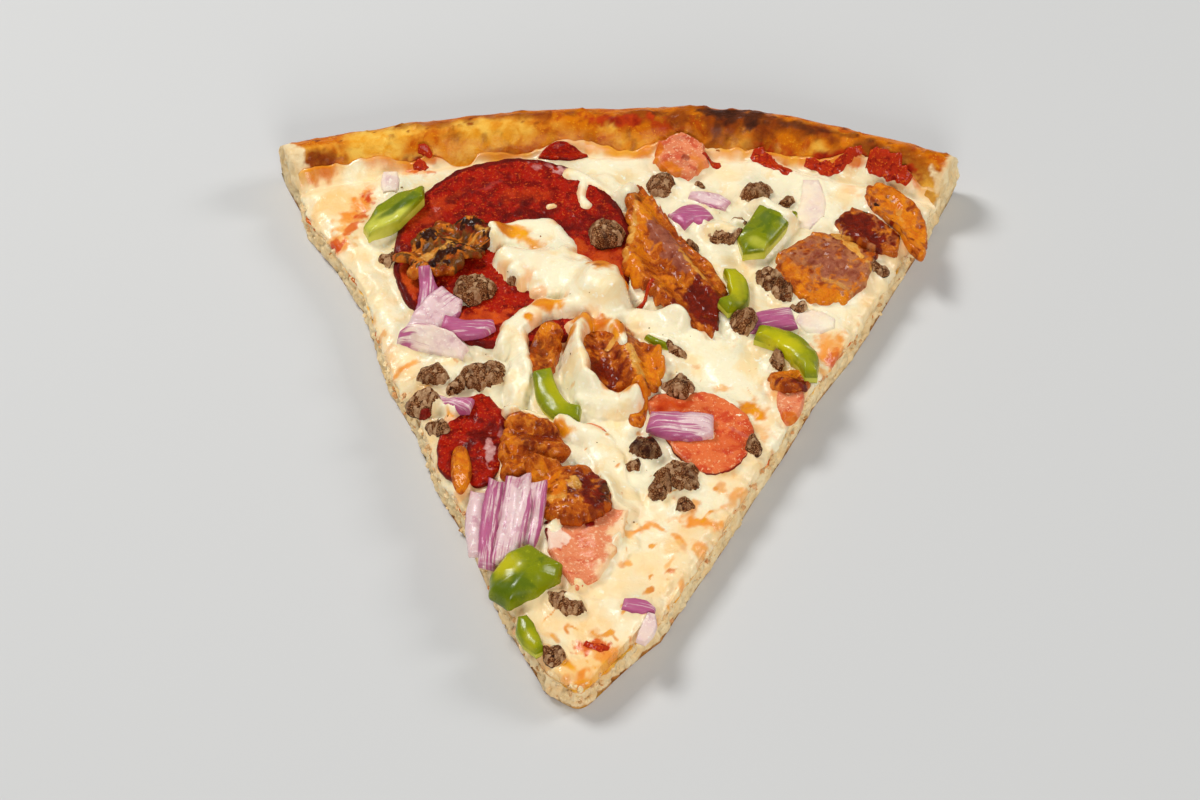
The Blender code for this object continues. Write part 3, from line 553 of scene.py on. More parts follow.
def curve_through(knots, count, closed):
    """Catmull-Rom curve through the knots, as evenly stepped points."""
    knots = np.asarray(knots, float)
    if closed:
        padded = np.vstack([knots[-1:], knots, knots[:2]])
        steps = np.linspace(0, len(knots), count, endpoint=False)
    else:
        padded = np.vstack([2 * knots[0] - knots[1], knots, 2 * knots[-1] - knots[-2]])
        steps = np.linspace(0, len(knots) - 1, count)
    span = np.minimum(steps.astype(int), len(padded) - 4)
    f = (steps - span)[:, None]
    a, b, c, d = (padded[span + k] for k in range(4))
    return b + 0.5 * f * (c - a + f * (2 * a - 5 * b + 4 * c - d + f * (3 * (b - c) + d - a)))


def sharp(corners, near=0.16):
    """An outline that keeps its corners: each gets a point beside it on either side."""
    corners = np.asarray(corners, float)
    before, after = np.roll(corners, 1, axis=0), np.roll(corners, -1, axis=0)
    spots = [corners + near * (before - corners), corners, corners + near * (after - corners)]
    return np.stack(spots, axis=1).reshape(-1, 2)


def disc(outline, spokes, rings, ragged=0.03, seed=0):
    """Rings from near a middle out to a ragged outline, in mm. Depth falls from 1 to 0 at the outline."""
    edge = curve_through(outline, spokes, closed=True)
    edge = edge * (1 + ragged * rough(edge, 1.6, seed))[:, None]
    shares = np.linspace(0.04, 1, rings)
    xy = (shares[:, None, None] * edge[None]).reshape(-1, 2)
    index = np.arange(rings * spokes).reshape(rings, spokes)
    after = np.roll(index, -1, axis=1)
    quads = np.stack([index[:-1], index[1:], after[1:], after[:-1]], -1).reshape(-1, 4)
    return Plan(xy, quads, [index[0]], quads[:, ::-1], [index[0, ::-1]], index[-1],
                1 - np.repeat(shares, spokes))


def strip(path, widths, rows, columns, seed=0, ragged=0.06):
    """Rows across a curve, as wide as the widths say, in mm. Their depth falls from 1 to 0 at the sides."""
    line = curve_through(path, rows, closed=False)
    along = np.gradient(line, axis=0)
    aside = np.column_stack([along[:, 1], -along[:, 0]]) / np.linalg.norm(along, axis=1)[:, None]
    half = 0.5 * np.interp(np.linspace(0, 1, rows), np.linspace(0, 1, len(widths)), widths)
    tooth = 2.5 if ragged < 0.1 else 1.2
    half = half * (1 + ragged * rough(line, tooth, seed, 2))
    across = np.linspace(-1, 1, columns)
    plan = grid_plan(line[:, None] + aside[:, None] * (half[:, None] * across)[..., None])
    from_end = 2.5 * (1 - np.abs(np.linspace(-1, 1, rows)))[:, None]
    depth = np.minimum(from_end, 1 - np.abs(across)).ravel()
    return plan._replace(base=plan.quads[:, ::-1], ends=[], depth=depth)


GRIP = 0.4
THINNEST = 0.3


def lay(node, kind, slot, finish, at, plan, thickness, edge_share, relief, arch=0.0, rounded=0.25,
        lean=(0.0, 0.0), ruffle=0.0, wave=(0, 6), seed=0, bulge=0.25, grease=0.0, drape=5, stiff=0.0):
    """Rests a topping on the ground and replaces its solid. Gives the object, its points, and their part.

    Its underside is the higher of the eased ground and of a level that may lean and be ruffled as a sine
    wave along a heading. The stiffer it is, the closer the eased ground comes to the plane that fits it
    best. Its thickness grows from edge_share of it at the outline as a quarter round that ends at the
    depth called rounded, and arch more is added as a parabola. Relief gives the top's roughness at each
    point. All but the lean are in mm.
    """
    offsets = plan.xy
    xy = (offsets + at) * MM
    level = np.median(ground.at(xy))
    heading, length = wave
    way = offsets @ np.array([np.cos(np.radians(heading)), np.sin(np.radians(heading))])
    way = way + 0.35 * rough(offsets, 5.0, seed + 3, 2)
    folds = ruffle * (0.5 + 0.5 * np.sin(2 * np.pi * way / length + seed))
    eased_ground = smoothed(widened(ground.height, drape // 2), drape)
    rest = ground.at(xy, eased_ground)
    plane = np.column_stack([offsets, np.ones(len(offsets))])
    rest = rest + stiff * (plane @ np.linalg.lstsq(plane, rest, rcond=None)[0] - rest)
    under = np.maximum(rest, level + (offsets @ np.array(lean) + folds) * MM)
    under = under - GRIP * MM
    lumps = 1 + 0.12 * rough(xy, 4 * MM, seed, 2)
    inward = 1 - np.clip(plan.depth / rounded, 0, 1)
    full = thickness * (edge_share + (1 - edge_share) * np.sqrt(1 - inward**2)) * lumps
    full = full + arch * (1 - (1 - plan.depth) ** 2)
    top = under + (0.5 * GRIP + np.maximum(full + relief(xy), THINNEST)) * MM
    piece, points, where = body(node + "_" + kind, plan._replace(xy=xy), under, top, finish, 5, bulge * MM)
    ground.add(np.column_stack([xy, top]), plan.quads, grease)
    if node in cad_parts:
        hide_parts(node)
    return piece, points, where


SALAMI_AREAS = (
    ("lit", (214, 84, 22), (186, 50, 14), 0.2, 0.9),
    ("dark", (100, 12, 6), (78, 8, 6), 0.2, 1),
    ("rind", (84, 10, 6), (120, 20, 10), 0.3, 0.9),
    # The pale pink area is painted highlight, where light glints on the slices.
    ("fat_and_painted_highlight", (216, 164, 156), (180, 100, 96), 0.3, 0.9))
SALAMI = food(
    "salami", ((166, 22, 2), (118, 8, 2), (210, 84, 30)), 2.4, 0.55, 0.46, 0.56,
    (0.28, 0.5), 0.3, SALAMI_AREAS, coat=0.08, soft=0)
SALAMI_PALE = food(
    "salami_pale", ((226, 112, 60), (206, 72, 38), (242, 172, 120)), 3, 0.7, 0.47, 0.56,
    (0.3, 0.5), 0.2, SALAMI_AREAS, coat=0.1, soft=0.04)
LIT_SALAMI = [
    (-44, 25, 6, 3.5, 80, 1), (-40, 45, 9, 2.5, 45, 0.5), (-1, 30, 7, 6, -60, 0.8),
    (-27, 14, 7, 2.5, 10, 1), (-36, 9, 6, 2, -10, 1), (-20, 50, 6, 3, 10, 0.45), (-8, 36, 4, 2, 0, 0.8),
    (14, -9, 5, 1.6, 0, 0.9), (27, -19, 6, 3, 30, 0.5)]
SALAMI_DARK = [
    (-17, 45, 9, 4, -20, 0.8), (-3, 44, 5, 5, 0, 0.6), (-34, 50, 8, 1.6, 40, 0.6),
    (-24, -20, 4, 5, 0, 0.8), (-28, -26, 3, 4, 0, 0.9), (2, 24, 3, 3, 0, 0.9)]
# Pale pink painted highlights, where light glints: at the top right of the large slice and on the left slice.
SALAMI_PAINTED_HIGHLIGHTS = [
    (-11, 58, 4.5, 1.6, -15, 0.8), (-17, 59.5, 3, 1.2, 5, 0.6), (-23, -24, 1, 3.5, 5, 0.9),
    (-21, -18.5, 0.8, 1.6, 10, 0.6), (28, -16, 6, 0.8, -28, 0.5), (-27, 54, 5, 1.2, 30, 0.4)]


def salami_relief(xy):
    """Grains of meat and fat that stand up a little, over low swells."""
    return 0.16 * rough(xy, 3.0 * MM, 15, 2) + 0.12 * rough(xy, 0.9 * MM, 16, 2)


def salami_slice(node, look, at, plan, thickness, edge_share, radii=None, **given):
    """A slice. Its rind runs round its outline, and round the oval of its radii where they are given."""
    slot = "salami_pale" if look is SALAMI_PALE else "salami"
    piece, points, where = lay(node, "slice", slot, look, at, plan, thickness, edge_share, salami_relief,
                               grease=1.0, **given)
    xy = points[:, :2]
    paint(piece, "lit", marks(xy, LIT_SALAMI, 1, 0.7, 1.6, 0.6))
    paint(piece, "dark", marks(xy, SALAMI_DARK, 3, 0.8, 1.6, 0.8))
    # Painted highlight: pale pink where light glints on the slice.
    paint(piece, "fat_and_painted_highlight", marks(xy, SALAMI_PAINTED_HIGHLIGHTS, 2, 0.8, 1.2, 0.5))
    edge = np.hypot(*((xy / MM - at) / radii).T) if radii else np.zeros(len(xy))
    edge = edge + 0.015 * rough(xy, 2 * MM, 17)
    paint(piece, "rind", np.maximum(eased(edge, 0.93, 0.98), 0.8 * (where == 1)))


def circle(radius, squash=1.0, sides=12):
    """Even points of an oval."""
    turn = np.linspace(0, 2 * np.pi, sides, endpoint=False)
    return np.column_stack([radius * np.cos(turn), radius * squash * np.sin(turn)])


salami_slice("salami_large", SALAMI, (-21.3, 33.8), disc(circle(26, 1.08), 260, 70, 0.008), 2, 0.9,
             radii=(26.0, 28.08), lean=(0, 0.05), rounded=0.08)
salami_slice("salami_left", SALAMI, (-26.5, -20), disc(
    [(-6, -9), (3, -12), (6, -4), (6, 6), (1, 13), (-5, 9), (-7, 1)], 110, 26), 1.9, 0.8, seed=2,
    ruffle=0.9, wave=(70, 8))
salami_slice("salami_right", SALAMI_PALE, (21.5, -14), disc(
    [(-12, 7), (-9.5, -2), (-2, -12.5), (5.5, -11), (9.5, -4), (8, 3), (0, 9)], 120, 28), 1.7, 0.8, seed=3)
salami_slice("salami_at_rim", SALAMI, (-12.5, 66.5), disc(
    [(-5, 0), (-3, -2.2), (3, -2.4), (5.5, 0), (2, 2.4), (-2, 2.4)], 60, 12), 1.5, 0.8, seed=4)

# Ham: cured pork, cut in thin squares that have shrunk and browned at the edges.

HAM = food(
    "ham", ((228, 136, 92), (208, 92, 58), (244, 192, 150)), 3, 0.7, 0.48, 0.55,
    (0.3, 0.55), 0.2, coat=0.1, soft=0.1, areas=(
        ("white", (246, 222, 200), (240, 196, 170), 0.2, 0.8),
        ("creamy", (249, 222, 180), (244, 190, 130), 0.1, 1),
        ("orange", (228, 134, 30), (206, 96, 20), 0.15, 1),
        ("red", (140, 20, 10), (104, 12, 8), 0.3, 0.8)))
HAM_AREAS = {
    "creamy": [(5.5, -43, 2.6, 8, -10, 1), (3, -53, 2.4, 6, -15, 0.8)],
    "white": [(-9, -46, 3.5, 2.5, 0, 1), (-6, -39.5, 4, 2.5, 0, 0.6)],
    "orange": [
        (7.5, -40, 1, 5, -8, 1), (4.5, -50, 0.8, 5, -15, 0.8), (9, 61, 5, 1.6, -10, 1),
        (9, 66, 1.6, 4, 0, 0.9), (19, 61.5, 2, 4, 20, 0.7), (39, -11, 2.5, 1.6, 0, 0.8)],
    "red": [
        (-10.4, -44, 0.5, 4.5, 4, 1), (-2, -42.5, 1.5, 1, -20, 1), (15, 64, 1.2, 1, 0, 0.6),
        (14, 62, 5, 1.6, -10, 0.45), (12, 68, 4, 1.6, 20, 0.4)]}


def ham_relief(xy):
    """The pressed meat's low seams."""
    return 0.25 * rough(xy, 3.5 * MM, 18, 3)


def ham_slice(node, at, plan, thickness, edge_share, **given):
    """A square of ham."""
    piece, points, _ = lay(node, "square", "ham", HAM, at, plan, thickness, edge_share, ham_relief,
                           grease=0.6, rounded=0.15, **given)
    for index, (area, spots) in enumerate(HAM_AREAS.items()):
        paint(piece, area, marks(points[:, :2], spots, index, 0.6, 1.4, 0.5))


ham_slice("ham_near_tip", (-2.5, -47.5), disc(sharp(
    [(-8.5, 5), (-6, -4), (-1, -11.5), (4, -6.5), (7, 1), (8.5, 9), (1, 11.5), (-6, 9.5)]), 130, 26, 0.06),
    1.9, 0.8, ruffle=0.8, wave=(20, 9))
ham_slice("ham_on_crust", (14, 65), disc(sharp(
    [(-6, -1), (-3, -5.5), (2, -6), (6, -1.5), (5, 4.5), (0, 6), (-5, 4.5)]), 90, 20, 0.08),
    2.6, 0.6, seed=1)
ham_slice("ham_at_edge", (38.8, -7), disc(
    [(-2.4, -1), (-0.5, -5), (2, -2), (2.6, 3.5), (0, 5), (-2.6, 4)], 60, 12), 1.6, 0.7, seed=2)
ham_slice("ham_bit_middle", (-3, -16.4), disc(
    [(-3.4, 0.4), (0, -1.8), (3.6, 0), (0.5, 2)], 40, 8), 2, 0.6, seed=3)

# Bacon: rashers of streaky pork, broken up and fried crisp. The lean dries to a brown red, the fat turns to
# orange and gold, and the pieces curl and ruffle.

BACON = food(
    "bacon", ((186, 86, 12), (146, 54, 8), (224, 144, 58)), 1.8, 0.45, 0.48, 0.58,
    (0.18, 0.45), 0.35, coat=0.25, soft=0, areas=(
        ("brown", (134, 84, 30), (96, 54, 20), 0.2, 0.9),
        ("tan", (196, 130, 84), (168, 94, 52), 0.2, 0.9),
        # Wrinkle crests painted golden, partly crisped fat and partly painted highlight; the creases between
        # painted darker, which is painted shade.
        ("crest", (226, 136, 40), (204, 104, 20), 0.3, 1),
        ("crest", (128, 44, 6), (150, 60, 10), -0.5, -1.6),
        ("orange", (236, 142, 22), (212, 102, 10), 0.2, 0.9),
        ("mauve", (176, 104, 76), (142, 66, 42), 0.2, 0.9),
        ("lean", (136, 34, 8), (92, 20, 6), 0.2, 0.9),
        ("fat_and_painted_highlight", (240, 184, 92), (222, 142, 44), 0.25, 0.8),
        ("char", (70, 30, 10), (40, 16, 6), 0.3, 0.9)))
BACON_AREAS = {
    "brown": [(-35, 33, 11, 8, 30, 0.9), (-14, 4, 2, 3, 0, 0.5)],
    "tan": [(48, 33, 11, 9, -40, 0.8), (60, 48, 6, 8, 30, 0.6), (3, 8, 3, 2, 0, 0.5)],
    # The first two orange marks run down the upper left edge of the back rasher: partly fried fat, partly
    # painted highlight.
    "orange": [
        (6, 44, 2.5, 7, -15, 1), (5, 29, 2.4, 7, 0, 1), (13, 25, 4, 3, -40, 0.7), (46, 22, 9, 4, -12, 1),
        (39, 30, 3, 5, 30, 0.7), (64, 46, 4, 12, 20, 1), (60, 56, 3, 3, 0, 0.6), (9.5, 0, 2.5, 6, -20, 1),
        (-12, -35, 4.5, 6, 0, 1), (-9.5, -15.5, 7, 2, -18, 1), (-18.5, -24, 1.6, 6, 10, 0.8),
        (-1, 24, 3, 3, 0, 0.8), (38.5, 0.5, 3, 1.4, 0, 0.9), (-13.5, 9, 3, 2, 0, 0.7),
        (-28.5, -30, 2, 6, 10, 1), (7, -9, 1.8, 5, 0, 1)],
    "mauve": [(12.5, 35, 9, 2.2, -55, 1), (48, 33, 7, 4.5, -40, 0.8), (0, 5, 4, 3, 0, 0.35)],
    "lean": [
        (20, 19, 7, 4.5, -50, 1), (14, 28, 4, 2, -60, 0.5), (54.5, 43.5, 6, 5, -20, 1),
        (44, 34, 2, 5, -20, 0.5), (-1, 0, 4, 5, 0, 0.8), (-13.5, -21, 4.5, 3.5, 0, 0.7),
        (-2, -35, 4.5, 6, 0, 0.9), (36.5, -2.4, 1.3, 0.9, 30, 1), (40.5, -2.6, 1.7, 1, 0, 1),
        (-14, 3, 2.4, 4, 0, 0.5), (-29, 38.5, 4, 2, 20, 0.8)],
    # The thin pale lines on the back rasher are partly fat and partly painted highlight; on the other rashers
    # this area is fat.
    "fat_and_painted_highlight": [
        (51.6, 38.2, 10.5, 0.8, -50, 1), (5.6, 2, 6, 0.8, -68, 0.9), (-33, 33.5, 4, 0.9, 28, 0.9),
        (-40, 30, 3, 1, 15, 0.8), (-29, 37.5, 2.5, 0.9, -20, 0.7), (-5, -32.8, 1.3, 1, 0, 1),
        (3.8, 38, 0.8, 9, -6, 0.7), (17, 30, 6, 0.7, -55, 0.7), (-8.2, -37, 2.6, 1.6, 20, 0.6),
        (48, 27, 6, 0.7, -30, 0.5), (62, 50, 4, 0.7, -70, 0.6), (2, 7, 2.4, 0.7, 40, 0.8)],
    "char": [
        (-40, 34.5, 2.6, 1.5, 20, 1), (-31, 39, 2.4, 1.2, 10, 1), (-34.5, 30.5, 4.5, 1.3, 25, 1),
        (-27.5, 34.5, 1.6, 1.6, 0, 0.9), (1.5, -36, 1.2, 5, 10, 0.7), (25, 15, 1.4, 3, 30, 0.5),
        (5, 49, 1.2, 2.5, -20, 0.6), (56, 51, 1.6, 1, 0, 0.9), (10, 21, 1.4, 2.4, 0, 0.5)]}


WRINKLE = 1.8 * MM
FAT_BLISTER = 1.2 * MM


def wrinkles(xy):
    """Narrow crests between -1 and 1: one less the size of noise, which peaks where the noise is nought."""
    return 1 - 4 * np.abs(rough(xy, WRINKLE, 20, 2)) / 1.5


def crisp_relief(xy):
    """Fried fat and lean: swells, fine wrinkles and blisters."""
    blisters = np.maximum(rough(xy, FAT_BLISTER, 21, 1) - 0.3, 0)
    return 0.4 * rough(xy, 5 * MM, 19, 2) + 0.13 * wrinkles(xy) + 0.35 * blisters


def rasher(node, at, plan, thickness, edge_share, slot="bacon", crag=0.0, **given):
    """A piece of rasher. Crag is the height in mm of what stands up where it fried hardest."""
    def relief(xy):
        return crisp_relief(xy) + crag * rough(xy, 2.6 * MM, 57, 3)

    piece, points, where = lay(node, "rasher", slot, BACON, at, plan, thickness, edge_share, relief,
                               grease=1.0, rounded=0.2, **given)
    xy = points[:, :2]
    # Painted highlight along the wrinkles' crests and on the blisters, partly crisped fat, and painted shade
    # in the creases between them.
    paint(piece, "crest", wrinkles(xy) + (0.6 + crag) * rough(xy, FAT_BLISTER, 21, 1))
    for index, (area, spots) in enumerate(BACON_AREAS.items()):
        ragged, size = (1.5, 1.0) if area == "char" else (0.8, 1.4)
        paint(piece, area, marks(xy, spots, index, ragged, size, 0.5))


rasher("bacon_far_left", (-36, 32), disc(
    [(-6.5, -8), (1, -6), (8, 0.5), (10, 7.5), (1.5, 8.5), (-4.5, 5), (-9.5, -2)], 150, 36, 0.22), 1.8, 0.6,
    ruffle=2.0, wave=(60, 9), seed=1, drape=9, crag=1.0)
rasher("bacon_back", (14, 33.5), disc(
    [(-10.5, 8), (-11, -4.5), (-2.5, -14.5), (6.5, -21), (10.5, -13.5), (9, -4.5), (0.5, 7), (-6.5, 18.5),
     (-12, 20.5)], 220, 44, 0.08), 2.4, 0.7, lean=(-0.06, 0.03), ruffle=2.6, wave=(35, 9), seed=2, drape=12)
rasher("bacon_right", (49, 34), disc(sharp(
    [(-5.5, 8.5), (-13, 2), (-13.5, -5.5), (-6.5, -12), (1, -12), (5.5, -6), (8, 3), (2.5, 9)]),
    190, 44, 0.05), 2.0, 0.75, "bacon_fat", ruffle=0.7, wave=(-50, 8), seed=3, drape=9)
rasher("bacon_right_dark", (55, 44), disc(sharp(
    [(-6.5, 2.5), (-5, -3.5), (1, -6.5), (6.5, -6), (7, -1), (2, 5), (-3, 7)]), 120, 26, 0.06),
    2.2, 0.75, seed=4)
rasher("bacon_far_right", (61.5, 48), disc(
    [(-5, 3.5), (0, -4), (5, -11), (6.5, -7), (5.5, 2), (0.5, 9), (-4, 11.5), (-6.5, 8.5)], 120, 26, 0.05),
    2.0, 0.75, "bacon_fat", seed=5, drape=9)
rasher("bacon_mid_left", (-13.5, 5), disc(
    [(-3.5, -5.5), (1.5, -6.5), (3.5, 1.5), (3, 6.5), (-0.5, 5.5), (-2.5, 0.5)], 100, 20, 0.12),
    2.6, 0.7, seed=6)
rasher("bacon_mid", (3, 3), disc(
    [(-7, -8.5), (0.5, -7.5), (6, -9.5), (9, -1), (5, 5), (-3, 9.5), (-9, 5.5), (-9, -2)], 160, 36, 0.1),
    2.4, 0.7, ruffle=2.8, wave=(15, 9), seed=7, drape=9)
rasher("bacon_near_left", (-13.5, -22.5), disc(
    [(-6, -8), (1, -5.5), (6.5, -1.5), (4, 5), (-1.5, 8), (-6, 7.5), (-7, 0)], 140, 30, 0.1), 2.4, 0.6,
    "bacon_fat", ruffle=2.4, wave=(80, 7), seed=8, drape=9)
rasher("bacon_near", (-7, -35), disc(
    [(-6.5, -2.5), (-3, -6.5), (3.5, -7.5), (8.5, -4), (9.5, 0.5), (6, 6.5), (-1, 7.5), (-8, 6.5)],
    150, 34, 0.08), 3.0, 0.6, arch=0.6, ruffle=1.8, wave=(-30, 8), seed=9, drape=9)
rasher("bacon_bit_back", (-1, 23), disc(
    [(-2.5, -4.8), (1.5, -4.2), (4.5, 1), (0.5, 5), (-2.8, 3), (-4.5, -1.5)], 90, 20, 0.15), 2.6, 0.7,
    "bacon_fat", seed=10)
rasher("bacon_bit_right", (38.5, -1.5), disc(
    [(-3.2, -2), (0, -3.2), (3.6, -1), (4, 2.8), (0, 3.2), (-4, 2)], 90, 18, 0.15), 2.6, 0.6, "bacon_fat",
    seed=11)
rasher("bacon_sliver_middle", (7, -9), disc([(-1.6, -4), (1.2, -5), (1.9, 0), (1, 5), (-1.4, 3)], 50, 10),
       1.4, 0.6, seed=12)
rasher("bacon_sliver_left", (-28.5, -29.5), disc(
    [(-2, 3), (-1.4, -3), (0.4, -5.8), (2, -1), (0.6, 5.6), (-1.4, 6)], 60, 10), 1.4, 0.6, seed=13)

# Red onion: strips of the rings of one onion, white inside with purple lines and a purple skin side. They
# have softened in the oven and keep the curve of the ring.


def onion_finish():
    """Purple lines run with the strip: noise read from the places along and across it, stretched along."""
    made = food("red_onion", ((228, 196, 194), (202, 150, 160), (244, 228, 220)), 4.0, 0.9,
                0.5, 0.56, (0.25, 0.45), 0.08, coat=0.15, soft=0.15, shine=0.25, areas=(
                    ("cheesy", (249, 226, 190), (246, 234, 206), 0.0, 1.0),))
    tree = made.node_tree
    shader = tree.nodes["Principled BSDF"]
    base = shader.inputs["Base Color"].links[0].from_socket
    along = wire(tree, "Attribute", {}, attribute_name="along").outputs["Fac"]
    across = wire(tree, "Attribute", {}, attribute_name="across").outputs["Fac"]
    skin = wire(tree, "Attribute", {}, attribute_name="purple").outputs["Fac"]
    place = wire(tree, "CombineXYZ", {0: along, 1: across}).outputs[0]
    line = wire(tree, "TexNoise", {"Vector": place, "Scale": 1.0, "Detail": 3.0, "Roughness": 0.6}).outputs[0]
    start = wire(tree, "Math", {0: 0.72, 1: skin}, operation="SUBTRACT").outputs[0]
    full = wire(tree, "Math", {0: start, 1: 0.16}).outputs[0]
    purple = blended(tree, line, shade(146, 44, 98), shade(204, 114, 150))
    lined = blended(tree, between(tree, line, start, full), base, purple)
    tree.links.new(lined, shader.inputs["Base Color"])
    return made


RED_ONION = onion_finish()
ALONG_STRETCH = 0.12
ACROSS_STRETCH = 1.9


def onion_relief(xy):
    """Low waves of a wilted strip."""
    return 0.12 * rough(xy, 3 * MM, 22, 2)


def onion(name, at, path, widths, arch, seed, purple=0.3, lean_in=0.0, cheesy=0.0, thickness=1.5):
    """A strip that arches over its width. Purple is how much of it is purple, and more so at its start.

    Cheesy is how far oil and cheese have soaked into it.
    """
    plan = strip(path, widths, 60, 21, seed)
    piece, points, _ = lay("onion_" + name, "strip", "onion", RED_ONION, at, plan, thickness,
                           0.8 - cheesy, onion_relief, arch=arch, seed=seed, bulge=0.1, drape=7, stiff=0.6)
    paint(piece, "cheesy", cheesy * (1 + 0.4 * rough(points, 2.5 * MM, seed)))
    middle = np.asarray(path, float)
    way = middle[-1] - middle[0]
    way = way / np.linalg.norm(way)
    away = points[:, :2] / MM - at
    along = away @ way
    across = away @ np.array([-way[1], way[0]])
    paint(piece, "along", along * ALONG_STRETCH + 3 * seed)
    paint(piece, "across", across * ACROSS_STRETCH)
    side = eased(np.abs(across) / (0.5 * max(widths)), 0.55, 0.95)
    paint(piece, "purple", purple + lean_in * along / np.abs(along).max() + (0.16 - 0.24 * cheesy) * side)


onion("left_back", (-39, 18.6), [(-1, -6.5), (0.5, 0), (-1, 6.5)], [3, 4.6, 4.6, 3.6, 2.4], 0.9, 1, 0.35)
onion("left_broad", (-36.6, 13.6), [(-5.5, -5), (0, 0), (3, 5.5)], [3, 6.4, 8, 7, 5], 1, 2, 0.14, 0.15)
onion("left_purple", (-29.6, 9.6), [(-5.5, 1), (0, 0), (5.5, 1.5)], [3.4, 4.6, 4.5, 4, 2], 0.8, 3, 0.4)
onion("left_front", (-37, 6), [(-7.5, 2), (0, 0.6), (7.2, -2)], [1.6, 4.2, 5, 4.6, 3.2], 1, 4, 0.08, -0.3,
      cheesy=0.45)
onion("back_purple", (17, 48), [(-3.4, -2.8), (0, 0.5), (3.6, -2)], [5, 5.5, 5.5, 4], 0.9, 5, 0.4)
onion("back_pale", (20.5, 53), [(-4.3, 1), (0, 0), (4.3, -2)], [1.6, 4, 4.5, 3], 0.6, 6, 0.15)
onion("right", (34, 16), [(-5, -1.5), (0, 0), (5.5, 1.5)], [5, 6.5, 7, 6], 1.2, 7, 0.42, -0.05)
onion("right_pale", (44, 17), [(-3.8, 1), (0, 0), (4.2, -0.5)], [4, 6.4, 6, 2.6], 0.1, 8, -0.1, cheesy=0.7,
      thickness=1.0)
onion("middle", (16, -15.5), [(-6.6, 1.2), (0, 0), (6.8, 0)], [4.6, 6.5, 6.8, 5], 1.3, 9, 0.28, -0.12)
onion("ring_left", (-32, -10.5), [(-4.8, 2.6), (-1, -0.4), (4.6, -2)], [2, 3.4, 3.8, 3], 0.9, 10, 0.3)
onion("near_white", (-24.6, -42), [(0.6, -8), (0, 0), (0.2, 8)], [3.4, 4.4, 4.6, 3.8], 1, 11, 0.08)
onion("near_pink", (-13.4, -41), [(-0.8, -7), (0.2, 0), (0.8, 7.2)], [3.4, 4.4, 4.8, 4], 0.8, 14, 0.26)
onion("near_striped", (-21.2, -42.5), [(-0.6, -11), (0, 0), (0.6, 11)], [3.6, 4.8, 5, 4.2], 1.2, 12, 0.33)
onion("near_broad", (-17.2, -42.5), [(-1.8, -10.8), (0.4, 0), (0.6, 11)], [4, 5.4, 6.2, 5], 1.2, 13, 0.2)
onion("far_right", (43, 52.5), [(-1.4, -7.6), (0.4, 0), (0, 8)], [2.6, 6, 5.5, 3.4], 0.1, 15, -0.1,
      cheesy=0.65, thickness=0.8)
onion("bit_tip", (9, -62.5), [(-3.2, 0.6), (0, 0), (3.2, -0.8)], [2.4, 3.6, 3.2, 0.8], 0.3, 16, 0.4)
onion("bit_edge", (11, -67.6), [(0.6, 3.2), (0, 0), (-1.4, -3.4)], [1.5, 3, 3, 1.8], 0.1, 17, 0.08,
      cheesy=0.35, thickness=1.0)
onion("bit_far_left", (-50, 55.5), [(-0.2, 3.2), (0, 0), (0.3, -3.2)], [3.2, 4.2, 4.2, 3], 0.1, 18, -0.1,
      cheesy=0.5, thickness=0.9)

# Green pepper: diced and sliced, with its waxy skin up and its wet, pale flesh at the cuts.

GREEN_PEPPER = food(
    "green_pepper", ((128, 136, 2), (92, 110, 0), (158, 162, 22)), 4.5, 1.2, 0.5, 0.6,
    (0.2, 0.36), 0.06, coat=0.15, soft=0.05, shine=0.25, areas=(
        # Pale flesh on the cut sides, and a painted highlight at the foot of the back piece.
        ("flesh_and_painted_highlight", (206, 204, 82), (184, 184, 46), 0.2, 0.9),
        ("deep", (76, 96, 2), (90, 108, 4), 0.2, 0.9),
        ("yellow", (196, 186, 14), (172, 168, 10), 0.2, 0.9)))
PEPPER_AREAS = {
    # The pale mark at (32, 36.5), at the foot of the back piece, is a painted highlight.
    "flesh_and_painted_highlight": [(-50, 40, 6, 2.2, 32, 1), (32, 36.5, 3.4, 1.6, -20, 0.6), (-8, -8, 5, 1.5, -50, 0.5)],
    "deep": [(-47.5, 43.5, 6, 1.2, 35, 0.8), (-17, -60, 5, 3, 30, 0.8), (32, 43, 5, 6, -60, 0.4)],
    "yellow": [
        (37, 6.5, 6, 4, -35, 0.9), (27, 24, 2.5, 6, 0, 0.8), (-18, -55, 3, 4, 40, 0.8),
        (41, 3, 3, 5, 30, 0.5), (-10, -8, 3, 6, 20, 0.6), (-12, -73, 2.5, 3, 0, 0.6)]}


def pepper_relief(xy):
    """A skin that has puckered a little."""
    return 0.08 * rough(xy, 5.0 * MM, 23, 2)


def pepper(node, at, plan, thickness, edge_share, seed, arch=0.8, flesh_and_painted_highlight=0.9):
    """A diced or sliced piece. Its last argument is how pale its cut sides are."""
    piece, points, where = lay(node, "cut", "pepper", GREEN_PEPPER, at, plan, thickness, edge_share,
                               pepper_relief, arch=arch, seed=seed, rounded=0.2, bulge=0.1, drape=9,
                               stiff=0.9)
    for index, (area, spots) in enumerate(PEPPER_AREAS.items()):
        values = marks(points, spots, index, 0.3, 3.0, 0.7)
        # The pale area: flesh on the cut sides, and a painted highlight on the back piece.
        paint(piece, area, np.maximum(values, flesh_and_painted_highlight * (where == 1)) if area == "flesh_and_painted_highlight" else values)


